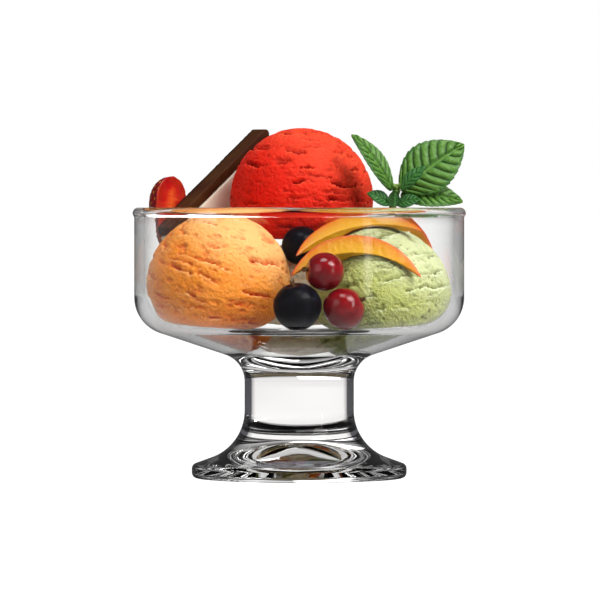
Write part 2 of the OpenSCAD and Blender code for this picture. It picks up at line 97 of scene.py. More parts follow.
@dataclass(frozen=True)
class Grain:
    """Seeded gradient noise over space, which comes out the same on every run."""

    seed: int
    gain: float = 1.6

    @staticmethod
    def _pick(order: np.ndarray, cell: np.ndarray) -> np.ndarray:
        """Picks an entry of a shuffled table for each cell of space.

        Args:
            order: The shuffled table.
            cell: Rows of whole x, y and z.

        Returns:
            One entry for each row.
        """
        last = CELLS - 1
        x, y, z = (cell & last).T
        return order[(order[(order[x] + y) & last] + z) & last]

    def at(self, points: np.ndarray) -> np.ndarray:
        """Reads the noise.

        Args:
            points: Rows of x, y and z, in cells.

        Returns:
            One number from about -1 to 1 for each row.
        """
        rng = np.random.default_rng(self.seed)
        order = rng.permutation(CELLS)
        slopes = rng.normal(size=(CELLS, 3))
        slopes /= np.linalg.norm(slopes, axis=1)[:, None]
        cell = np.floor(points).astype(int)
        part = points - cell
        fade = part**3 * (part * (part * 6 - 15) + 10)
        total = np.zeros(len(points))
        for corner in np.ndindex(2, 2, 2):
            slope = slopes[self._pick(order, cell + corner)]
            weight = np.prod(np.where(corner, fade, 1 - fade), axis=1)
            total += weight * np.einsum("ij,ij->i", slope, part - corner)
        return total * self.gain

    def layers(self, points: np.ndarray, count: int = 3) -> np.ndarray:
        """Adds finer and weaker copies of the noise.

        Args:
            points: Rows of x, y and z, in cells of the coarsest copy.
            count: How many copies.

        Returns:
            One number from about -1 to 1 for each row.
        """
        total = np.zeros(len(points))
        for k in range(count):
            total += Grain(self.seed + k).at(points * 2.0**k + 17.3 * k) * 0.5**k
        return total / (2 - 0.5 ** (count - 1))

    def spots(self, points: np.ndarray) -> tuple[np.ndarray, np.ndarray]:
        """Finds the nearest of one scattered point per cell.

        Args:
            points: Rows of x, y and z, in cells.

        Returns:
            The distance to the nearest scattered point, and a number from 0 to 1 that is that point's own.
        """
        rng = np.random.default_rng(self.seed)
        order = rng.permutation(CELLS)
        place = rng.random((CELLS, 3))
        own = rng.random(CELLS)
        cell = np.floor(points).astype(int)
        best = np.full(len(points), 9.0)
        mark = np.zeros(len(points))
        for step in np.ndindex(3, 3, 3):
            near = cell + np.array(step) - 1
            pick = self._pick(order, near)
            away = np.linalg.norm(near + place[pick] - points, axis=1)
            closer = away < best
            best = np.where(closer, away, best)
            mark = np.where(closer, own[pick], mark)
        return best, mark


def linked(name: str, data: bpy.types.ID) -> Piece:
    """Makes an object and links it to the scene.

    Args:
        name: Name of the object.
        data: Its mesh, camera or lamp.

    Returns:
        The object.
    """
    thing = bpy.data.objects.new(name, data)
    bpy.context.scene.collection.objects.link(thing)
    return thing


def turn_to(thing: Piece, aim: Point) -> float:
    """Turns a camera or lamp to a point.

    Args:
        thing: The camera or lamp, already in its place.
        aim: The point, in metres.

    Returns:
        The distance to it.
    """
    look = Vector(aim) - thing.location
    thing.rotation_euler = look.to_track_quat("-Z", "Y").to_euler()
    return look.length


def mesh_piece(name: str, points: np.ndarray, faces: Sequence[Sequence[int]]) -> Piece:
    """Makes a smooth-shaded mesh object.

    Args:
        name: Name of the piece.
        points: Rows of x, y and z in millimetres.
        faces: Corner indices of each face.

    Returns:
        The new object, linked to the scene.
    """
    mesh = bpy.data.meshes.new(name)
    mesh.from_pydata((np.asarray(points) * MM).tolist(), [], [list(f) for f in faces])
    mesh.validate()
    mesh.shade_smooth()
    return linked(name, mesh)


def ball(rounds: int) -> tuple[np.ndarray, list[list[int]]]:
    """Makes a ball of radius 1 out of triangles.

    Args:
        rounds: How often its faces are divided.

    Returns:
        Rows of x, y and z, and the corner indices of each face.
    """
    shape = bmesh.new()
    bmesh.ops.create_icosphere(shape, subdivisions=rounds, radius=1.0)
    unit = np.array([v.co[:] for v in shape.verts])
    faces = [[v.index for v in f.verts] for f in shape.faces]
    shape.free()
    return unit, faces


def tube_faces(steps: int, sides: int, base: int = 0) -> list[tuple[int, ...]]:
    """Faces of a tube with both ends closed.

    Args:
        steps: How many rings of points it has.
        sides: How many points a ring has.
        base: Index of its first point.

    Returns:
        Corner indices of each face.
    """
    faces: list[tuple[int, ...]] = []
    for a in range(base, base + (steps - 1) * sides, sides):
        for q in range(sides):
            n = (q + 1) % sides
            faces.append((a + q, a + n, a + sides + n, a + sides + q))
    faces.append(tuple(base + q for q in reversed(range(sides))))
    faces.append(tuple(base + (steps - 1) * sides + q for q in range(sides)))
    return faces


def distance_to(spots: np.ndarray, points: np.ndarray) -> np.ndarray:
    """Measures from each point to the nearest of some spots.

    Args:
        spots: Rows of x, y and z.
        points: Rows of x, y and z.

    Returns:
        One distance for each point.
    """
    tree = KDTree(len(spots))
    for k, spot in enumerate(spots):
        tree.insert(Vector(spot), k)
    tree.balance()
    return np.array([tree.find(Vector(q))[2] for q in points])


def points_of(mesh: bpy.types.Mesh) -> np.ndarray:
    """Reads a mesh's points.

    Args:
        mesh: The mesh.

    Returns:
        Rows of x, y and z in millimetres.
    """
    flat = np.empty(len(mesh.vertices) * 3)
    mesh.vertices.foreach_get("co", flat)
    return flat.reshape(-1, 3) / MM


def normals_of(mesh: bpy.types.Mesh) -> np.ndarray:
    """Reads a mesh's point normals.

    Args:
        mesh: The mesh.

    Returns:
        Rows of unit vectors.
    """
    flat = np.empty(len(mesh.vertices) * 3, np.float32)
    mesh.vertex_normals.foreach_get("vector", flat)
    return flat.reshape(-1, 3).astype(float)


def move_points(mesh: bpy.types.Mesh, points: np.ndarray) -> None:
    """Puts a mesh's points elsewhere.

    Args:
        mesh: The mesh.
        points: Rows of x, y and z in millimetres.
    """
    mesh.vertices.foreach_set("co", (points * MM).ravel())
    mesh.update()


def note(mesh: bpy.types.Mesh, name: str, values: np.ndarray) -> None:
    """Stores one number per point under a name that a material reads.

    Args:
        mesh: The mesh.
        name: Name of the attribute.
        values: One number per point.
    """
    layer = mesh.attributes.new(name, "FLOAT", "POINT")
    layer.data.foreach_set("value", np.asarray(values, np.float32))


def even_skin(name: str, node: str, voxel: float, soften: int) -> Piece:
    """Copies a CAD node's shape into a new piece with a fine, even mesh.

    Args:
        name: Name of the new piece.
        node: The CAD node.
        voxel: Size of the mesh's faces in millimetres.
        soften: Rounds of smoothing, which rounds off the edges.

    Returns:
        The new object, linked to the scene.
    """
    shape = bmesh.new()
    shape.from_mesh(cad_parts[node].data)
    bmesh.ops.remove_doubles(shape, verts=shape.verts, dist=WELD * MM)
    copy = bpy.data.meshes.new(name + "_source")
    shape.to_mesh(copy)
    shape.free()
    source = linked(name + "_source", copy)
    remesh = source.modifiers.new("even", "REMESH")
    remesh.mode = "VOXEL"
    remesh.voxel_size = voxel * MM
    smooth = source.modifiers.new("soften", "SMOOTH")
    smooth.iterations = soften
    smooth.factor = 0.5
    graph = bpy.context.evaluated_depsgraph_get()
    mesh = bpy.data.meshes.new_from_object(source.evaluated_get(graph), depsgraph=graph)
    bpy.data.objects.remove(source)
    bpy.data.meshes.remove(copy)
    mesh.name = name
    mesh.materials.clear()
    mesh.shade_smooth()
    return linked(name, mesh)


def finish_piece(
    piece: Piece, body: str, material: bpy.types.Material, slot: str, *nodes: str
) -> Piece:
    """Dresses a piece, puts it on its body and lets it stand for its CAD nodes.

    Args:
        piece: The piece.
        body: The body that it moves with.
        material: Its material.
        slot: Name of the material slot; not used.
        nodes: CAD nodes that it replaces.

    Returns:
        The same piece.
    """
    piece.data.materials.append(material)
    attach(piece, body)
    if nodes:
        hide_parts(*nodes)
    LOG.info("%s: %d faces, on %s", piece.name, len(piece.data.polygons), body)
    return piece


class Wiring:
    """The nodes and links of one shader tree, with short ways to add to them."""

    def __init__(self, tree: bpy.types.NodeTree) -> None:
        """Takes hold of a tree.

        Args:
            tree: The tree to add to.
        """
        self.nodes = tree.nodes
        self.links = tree.links

    def feed(self, value: object, socket: Socket) -> None:
        """Links or sets one input.

        Args:
            value: A socket to link, or a number, vector or colour to set.
            socket: The input.
        """
        if isinstance(value, Socket):
            self.links.new(value, socket)
        elif isinstance(value, tuple) and len(value) == 3 and socket.type == "RGBA":
            socket.default_value = (*value, 1)
        else:
            socket.default_value = value

    def fill(self, node: bpy.types.Node, inputs: dict[str, object]) -> None:
        """Feeds a node's inputs.

        Args:
            node: The node.
            inputs: Values, or sockets to link, by socket name with _ for a space.
        """
        for key, value in inputs.items():
            self.feed(value, node.inputs[key.replace("_", " ")])

    def add(self, kind: str, **inputs: object) -> bpy.types.Node:
        """Adds a node.

        Args:
            kind: The node's type.
            inputs: Values, or sockets to link, by socket name with _ for a space.

        Returns:
            The node.
        """
        node = self.nodes.new(kind)
        self.fill(node, inputs)
        return node

    def group(self, tree: bpy.types.NodeTree, **inputs: object) -> bpy.types.Node:
        """Adds a shared group with values of its own.

        Args:
            tree: The group.
            inputs: Values, or sockets to link, by socket name with _ for a space.

        Returns:
            The node.
        """
        node = self.nodes.new("ShaderNodeGroup")
        node.node_tree = tree
        self.fill(node, inputs)
        return node

    def reckon(self, operation: str, *values: object, kind: str = "ShaderNodeMath") -> Socket:
        """Reckons with numbers or, with a node of another kind, with vectors.

        Args:
            operation: What is done with them.
            values: Values, or sockets to link.
            kind: The node's type.

        Returns:
            The socket with the result.
        """
        node = self.nodes.new(kind)
        node.operation = operation
        for value, socket in zip(values, node.inputs):
            self.feed(value, socket)
        return node.outputs[0]

    def span(self, value: Socket, source: Ends = (0.0, 1.0), result: Ends = (0.0, 1.0)) -> Socket:
        """Carries a number from one span over to another, and holds it there at both ends.

        Args:
            value: The number.
            source: Start and end of the span that it lies in, as numbers or sockets.
            result: Start and end of the span that it goes to, as numbers or sockets.

        Returns:
            The socket with the result.
        """
        node = self.add(
            "ShaderNodeMapRange",
            Value=value, From_Min=source[0], From_Max=source[1], To_Min=result[0], To_Max=result[1],
        )
        return node.outputs["Result"]

    def mix(self, share: object, one: object, two: object) -> Socket:
        """Mixes two colours.

        Args:
            share: Share of the second colour, a number or a socket.
            one: First colour, linear values or a socket.
            two: Second colour, linear values or a socket.

        Returns:
            The socket with the mixed colour.
        """
        node = self.nodes.new("ShaderNodeMix")
        node.data_type = "RGBA"
        for index, value in ((0, share), (6, one), (7, two)):
            self.feed(value, node.inputs[index])
        return node.outputs[2]


class Sheet(Wiring):
    """A material being built: its nodes, links and shader."""

    def __init__(self, name: str) -> None:
        """Starts a material with a plain shader.

        Args:
            name: Name of the material.
        """
        self.material = bpy.data.materials.new(name)
        self.material.use_nodes = True
        super().__init__(self.material.node_tree)
        self.shader = self.nodes["Principled BSDF"]

    def set(self, **values: object) -> None:
        """Sets the shader's own sockets, named with _ for a space."""
        for key, value in values.items():
            words = key.replace("_", " ").title().replace("Ior", "IOR")
            self.feed(value, self.shader.inputs[words])

    def read(self, name: str) -> Socket:
        """Reads a number stored on the mesh.

        Args:
            name: Name of the attribute.

        Returns:
            The socket with the number.
        """
        node = self.nodes.new("ShaderNodeAttribute")
        node.attribute_name = name
        return node.outputs["Fac"]

    def ramp(self, share: Socket, *stops: tuple[float, Colour]) -> Socket:
        """Turns a number into a colour.

        Args:
            share: The number, from 0 to 1.
            stops: Places and their colours.

        Returns:
            The socket with the colour.
        """
        node = self.add("ShaderNodeValToRGB", Fac=share)
        bar = node.color_ramp
        while len(bar.elements) < len(stops):
            bar.elements.new(0.5)
        for stop, (where, colour) in zip(bar.elements, stops):
            stop.position = where
            stop.color = (*colour, 1)
        return node.outputs["Color"]

    def colour(self, socket: Socket) -> None:
        """Feeds the base colour."""
        self.links.new(socket, self.shader.inputs["Base Color"])

    def rough(self, socket: Socket, low: float, high: float) -> None:
        """Spreads a number over a span of roughness.

        Args:
            socket: The number, from 0 to 1.
            low: Roughness at 0.
            high: Roughness at 1.
        """
        self.links.new(self.span(socket, result=(low, high)), self.shader.inputs["Roughness"])

    def bump(self, height: Socket, depth: float) -> None:
        """Roughens the surface's normal.

        Args:
            height: The height, from 0 to 1.
            depth: What a height of 1 stands for, in millimetres.
        """
        node = self.add("ShaderNodeBump", Height=height, Distance=depth * MM, Strength=1.0)
        self.links.new(node.outputs["Normal"], self.shader.inputs["Normal"])

    def scatter(self, weight: float, radius: Colour, depth: float) -> None:
        """Lets light sink in and spread.

        Args:
            weight: Share of the light that sinks in.
            radius: How far red, green and blue go, as shares of the depth.
            depth: The depth in millimetres.
        """
        self.set(subsurface_weight=weight, subsurface_radius=radius, subsurface_scale=depth * MM)

    def surface(self, share: Socket, one: bpy.types.Node, two: bpy.types.Node) -> None:
        """Lets the surface be one shader or another.

        Args:
            share: Share of the second shader.
            one: First shader.
            two: Second shader.
        """
        both = self.nodes.new("ShaderNodeMixShader")
        for index, value in enumerate((share, one.outputs["BSDF"], two.outputs["BSDF"])):
            self.links.new(value, both.inputs[index])
        self.links.new(both.outputs["Shader"], self.nodes["Material Output"].inputs["Surface"])


class Effects:
    """Shader groups that several finishes share, each built once."""

    def __init__(self) -> None:
        """Builds the groups."""
        self.crumb = self._crumb()
        self.mottle = self._mottle()
        self.streaks = self._streaks()

    @staticmethod
    def _start(
        name: str, inputs: Sequence[tuple[str, str, object]], outputs: Sequence[tuple[str, str]]
    ) -> tuple[bpy.types.NodeTree, bpy.types.NodeOutputs, bpy.types.NodeInputs]:
        """Starts a group.

        Args:
            name: Name of the group.
            inputs: Name, socket type and default value of each input.
            outputs: Name and socket type of each output.

        Returns:
            The group, the sockets that bring what it is given, and the sockets that take what it makes.
        """
        tree = bpy.data.node_groups.new(name, "ShaderNodeTree")
        for label, kind, value in inputs:
            socket = tree.interface.new_socket(label, in_out="INPUT", socket_type=kind)
            socket.default_value = value
        for label, kind in outputs:
            tree.interface.new_socket(label, in_out="OUTPUT", socket_type=kind)
        return tree, tree.nodes.new("NodeGroupInput").outputs, tree.nodes.new("NodeGroupOutput").inputs

    def _crumb(self) -> bpy.types.NodeTree:
        """Fine frozen crystals: a height for the bump and a tone for the colour.

        Returns:
            The group.
        """
        tree, given, out = self._start(
            "frozen crumb",
            [("Scale", "NodeSocketFloat", 900.0)],
            [("Height", "NodeSocketFloat"), ("Tone", "NodeSocketFloat")],
        )
        wires = Wiring(tree)
        spread = {"Vector": wires.add("ShaderNodeTexCoord").outputs["Object"], "Scale": given["Scale"]}
        fine = wires.add("ShaderNodeTexNoise", **spread, Detail=3.0, Roughness=0.65).outputs["Fac"]
        cells = wires.add("ShaderNodeTexVoronoi", **spread).outputs["Distance"]
        wires.links.new(wires.reckon("MULTIPLY_ADD", cells, 0.45, fine), out["Height"])
        wires.links.new(fine, out["Tone"])
        return tree

    def _mottle(self) -> bpy.types.NodeTree:
        """Soft cloudy change between two colours.

        Returns:
            The group.
        """
        tree, given, out = self._start(
            "soft mottle",
            [
                ("One", "NodeSocketColor", (1, 1, 1, 1)),
                ("Two", "NodeSocketColor", (0, 0, 0, 1)),
                ("Scale", "NodeSocketFloat", 120.0),
                ("Amount", "NodeSocketFloat", 0.5),
            ],
            [("Colour", "NodeSocketColor"), ("Mask", "NodeSocketFloat")],
        )
        wires = Wiring(tree)
        where = wires.add("ShaderNodeTexCoord").outputs["Object"]
        cloud = wires.add(
            "ShaderNodeTexNoise", Vector=where, Scale=given["Scale"], Detail=4.0, Roughness=0.55
        )
        crisp = wires.span(cloud.outputs["Fac"], (0.33, 0.67))
        share = wires.reckon("MULTIPLY", crisp, given["Amount"])
        wires.links.new(wires.mix(share, given["One"], given["Two"]), out["Colour"])
        wires.links.new(crisp, out["Mask"])
        return tree

    def _streaks(self) -> bpy.types.NodeTree:
        """Fibres drawn out along one direction.

        Returns:
            The group.
        """
        tree, given, out = self._start(
            "drawn fibres",
            [
                ("Scale", "NodeSocketFloat", 300.0),
                ("Stretch", "NodeSocketVector", (1.0, 1.0, 0.1)),
                ("Turn", "NodeSocketVector", (0.0, 0.0, 0.0)),
            ],
            [("Tone", "NodeSocketFloat"), ("Height", "NodeSocketFloat")],
        )
        wires = Wiring(tree)
        where = wires.add("ShaderNodeTexCoord").outputs["Object"]
        turned = wires.add("ShaderNodeMapping", Vector=where, Rotation=given["Turn"]).outputs["Vector"]
        thin = wires.reckon("MULTIPLY", turned, given["Stretch"], kind="ShaderNodeVectorMath")
        fibre = wires.add(
            "ShaderNodeTexNoise", Vector=thin, Scale=given["Scale"], Detail=5.0, Roughness=0.6
        )
        wires.links.new(wires.span(fibre.outputs["Fac"], (0.3, 0.7)), out["Tone"])
        wires.links.new(fibre.outputs["Fac"], out["Height"])
        return tree


@dataclass(frozen=True)
class ClearGlass:
    """Finish of fire-polished clear glass, thin in the wall and solid in the stem, with painted shade on
    its edges.
    """

    ior: float = 1.5
    tint: Colour = (0.968, 0.972, 0.966)
    thick: Colour = (0.83, 0.815, 0.81)
    # A near-black colour: painted shade for the dark reflections where the glass is seen edge-on
    edge: Colour = (0.008, 0.008, 0.01)
    mirror: Colour = (0.15, 0.15, 0.15)
    passed: Colour = (0.93, 0.94, 0.94)
    # The next four set where the painted dark edge comes in and how strong it is, in the thin wall and in
    # the solid stem
    thin_dark_edge: Pair = (0.72, 1.0)
    solid_dark_edge: Pair = (0.4, 0.52)
    thin_share: float = 0.3
    solid_from: float = 0.5
    soft_rim: float = 0.22
    free_after: float = 1.0

    def make(self) -> bpy.types.Material:
        """Builds the material.

        Returns:
            The material, which lets light through to what it holds and turns near-black where it is seen
            edge-on, a painted shade for the dark surroundings reflected there.
        """
        sheet = Sheet("clear_glass")
        sheet.set(roughness=0.0, ior=self.ior, transmission_weight=1.0, specular_tint=self.mirror)
        # Painted shade: the colour goes near-black at grazing view, strongest in the solid stem and weaker
        # in the thin wall
        facing = sheet.add("ShaderNodeLayerWeight", Blend=0.5).outputs["Facing"]
        solid = sheet.read("solid")
        low, high = (sheet.span(solid, result=ends) for ends in zip(self.thin_dark_edge, self.solid_dark_edge))
        most = sheet.span(solid, (0.0, self.solid_from), (self.thin_share, 1.0))
        share = sheet.reckon("MULTIPLY", sheet.span(facing, (low, high)), most)
        sheet.colour(sheet.mix(share, sheet.mix(solid, self.tint, self.thick), self.edge))
        ray = sheet.add("ShaderNodeLightPath").outputs
        rim = sheet.span(sheet.read("bead"), result=(0.0, self.soft_rim))
        trapped = sheet.span(ray["Glossy Depth"], (self.free_after, self.free_after + 1.0))
        freed = sheet.reckon("MAXIMUM", sheet.reckon("MULTIPLY", sheet.read("wall"), trapped), rim)
        through = sheet.reckon("MAXIMUM", freed, ray["Is Shadow Ray"])
        sheet.surface(through, sheet.shader, sheet.add("ShaderNodeBsdfTransparent", Color=self.passed))
        return sheet.material


@dataclass(frozen=True)
class IceFinish:
    """Finish of a scoop of ice cream or sorbet."""

    name: str
    # pale is a lighter tone for mottle and specks and also the painted highlight; deep is the painted shade
    pale: Colour
    plain: Colour
    deep: Colour
    spread: Colour
    crumb_scale: float = 900.0
    crumb_depth: float = 0.6
    gloss: float = 0.5
    cloud_scale: float = 95.0
    cloud: float = 0.16
    speck_tones: Pair = (0.3, 0.75)
    speck: float = 0.08

    def make(self, effects: Effects) -> bpy.types.Material:
        """Builds the material.

        Args:
            effects: The shared groups.

        Returns:
            The material, with painted shade in the cracks, pits and low down, and painted highlights on the
            lips and on the side toward the key light.
        """
        sheet = Sheet(self.name)
        crumb = sheet.group(effects.crumb, Scale=self.crumb_scale).outputs
        cloud = sheet.group(
            effects.mottle, One=self.plain, Two=self.pale, Scale=self.cloud_scale, Amount=self.cloud
        )
        # Painted highlight: the lips of the torn lines and the side toward the key light turn pale
        tone = sheet.mix(sheet.read("lip"), cloud.outputs["Colour"], self.pale)
        # Painted shade: cracks, tears, pits and the lower part turn deep
        tone = sheet.mix(sheet.read("depth"), tone, self.deep)
        specks = sheet.span(crumb["Tone"], self.speck_tones, (0.0, self.speck))
        sheet.colour(sheet.mix(specks, tone, self.pale))
        sheet.rough(crumb["Tone"], self.gloss + 0.15, self.gloss - 0.1)
        sheet.bump(crumb["Height"], self.crumb_depth)
        sheet.scatter(0.25, self.spread, 1.6)
        sheet.set(specular_ior_level=0.08)
        return sheet.material


@dataclass(frozen=True)
class BerryFinish:
    """Finish of a berry's skin."""

    name: str
    skin: Colour
    glow: Colour
    rough: float
    bloom: float
    shine: float = 1.0
    spread: Colour = (1.0, 0.1, 0.05)
    wax: Colour = srgb(74, 78, 104)
    dry: Colour = srgb(58, 30, 18)
    cloud_scale: float = 260.0
    cloud: float = 0.6
    wax_scale: float = 420.0
    fine_scale: float = 1500.0

    def make(self, effects: Effects) -> bpy.types.Material:
        """Builds the material.

        Args:
            effects: The shared groups.

        Returns:
            The material, with meridian veins under a glossy or waxy skin.
        """
        sheet = Sheet(self.name)
        cloud = sheet.group(
            effects.mottle, One=self.skin, Two=self.glow, Scale=self.cloud_scale, Amount=self.cloud
        )
        dust = sheet.group(effects.mottle, One=BLACK, Two=WHITE, Scale=self.wax_scale, Amount=self.bloom)
        waxy = sheet.mix(dust.outputs["Colour"], cloud.outputs["Colour"], self.wax)
        vein = sheet.mix(sheet.read("vein"), waxy, self.glow)
        sheet.colour(sheet.mix(sheet.read("tip"), vein, self.dry))
        sheet.rough(dust.outputs["Mask"], self.rough, self.rough + 0.25 * self.bloom + 0.02)
        fine = sheet.group(effects.crumb, Scale=self.fine_scale)
        sheet.bump(fine.outputs["Height"], 0.02 + 0.05 * self.bloom)
        sheet.scatter(0.2, self.spread, 2.0)
        sheet.set(coat_weight=self.shine, coat_roughness=0.03, specular_ior_level=0.4 * self.shine)
        return sheet.material


class FruitPart(Enum):
    """Which fruit a wet cut finish is for, by its material slot name."""

    PEACH = "peach_flesh"
    STRAWBERRY = "strawberry_flesh"


@dataclass(frozen=True)
class CutFruit:
    """Finish of cut fruit, with its skin."""

    part: FruitPart
    name: str
    core: Colour
    flesh: Colour
    edge: Colour
    skin: Colour
    rough: float = 0.28
    fibre_scale: float = 420.0
    fibre_stretch: Point = (1.0, 1.0, 0.35)
    light_scale: float = 160.0
    light: float = 0.25
    peel_scale: float = 210.0
    peel: float = 0.5

    def make(self, effects: Effects) -> bpy.types.Material:
        """Builds the material.

        Args:
            effects: The shared groups.

        Returns:
            The material: flesh from core to edge, fibres across it, and skin where the mesh says.
        """
        sheet = Sheet(self.name)
        fibre = sheet.group(effects.streaks, Scale=self.fibre_scale, Stretch=self.fibre_stretch).outputs
        flesh = sheet.ramp(sheet.read("core"), (0.0, self.edge), (0.45, self.flesh), (1.0, self.core))
        lit = sheet.group(effects.mottle, One=BLACK, Two=WHITE, Scale=self.light_scale, Amount=self.light)
        flesh = sheet.mix(lit.outputs["Colour"], flesh, self.core)
        peel = sheet.group(
            effects.mottle, One=self.skin, Two=self.edge, Scale=self.peel_scale, Amount=self.peel
        )
        sheet.colour(sheet.mix(sheet.read("skin"), flesh, peel.outputs["Colour"]))
        sheet.rough(fibre["Tone"], self.rough, self.rough + 0.15)
        sheet.bump(fibre["Height"], 0.12)
        sheet.scatter(0.3, (1.0, 0.45, 0.15), 2.0)
        return sheet.material


@dataclass(frozen=True)
class LeafFinish:
    """Finish of a mint leaf."""

    name: str
    blade: Colour
    # light is a lighter tone at random and also the painted highlight on raised parts; groove is painted
    # shade
    light: Colour
    groove: Colour
    cloud_scale: float = 330.0
    cloud: float = 0.45
    fine_scale: float = 750.0
    fine_depth: float = 0.3

    def make(self, effects: Effects) -> bpy.types.Material:
        """Builds the material.

        Args:
            effects: The shared groups.

        Returns:
            The material: quilted blade with painted shade in the grooves, painted highlights on the raised
                parts and a paler midrib.
        """
        sheet = Sheet(self.name)
        cloud = sheet.group(
            effects.mottle, One=self.blade, Two=self.light, Scale=self.cloud_scale, Amount=self.cloud
        )
        # Painted highlight on the raised quilting, with the midrib also paler in its own right
        raised = sheet.mix(sheet.read("swell"), cloud.outputs["Colour"], self.light)
        # Painted shade in the vein grooves
        sheet.colour(sheet.mix(sheet.read("groove"), raised, self.groove))
        fine = sheet.group(effects.crumb, Scale=self.fine_scale).outputs
        sheet.rough(fine["Tone"], 0.5, 0.32)
        sheet.bump(fine["Height"], self.fine_depth)
        sheet.scatter(0.15, (0.4, 1.0, 0.2), 0.6)
        sheet.set(specular_ior_level=0.4)
        return sheet.material


@dataclass(frozen=True)
class NutFinish:
    """Finish of what is dry and fibrous: rind, nut flesh, seeds and dried flowers."""

    name: str
    one: Colour
    two: Colour
    edge: Colour
    rough: float
    relief: float
    fibre_scale: float = 260.0
    fibre_stretch: Point = (0.25, 0.25, 1.0)
    fibre_turn: Point = (0.0, 0.57, 0.9)

    def make(self, effects: Effects) -> bpy.types.Material:
        """Builds the material.

        Args:
            effects: The shared groups.

        Returns:
            The material, with fibres along the slice and a darker outer edge.
        """
        sheet = Sheet(self.name)
        fibre = sheet.group(
            effects.streaks, Scale=self.fibre_scale, Stretch=self.fibre_stretch, Turn=self.fibre_turn
        ).outputs
        tone = sheet.mix(fibre["Tone"], self.one, self.two)
        sheet.colour(sheet.mix(sheet.read("edge"), tone, self.edge))
        sheet.rough(fibre["Tone"], self.rough, self.rough + 0.15)
        sheet.bump(fibre["Height"], self.relief)
        sheet.set(specular_ior_level=0.15)
        return sheet.material


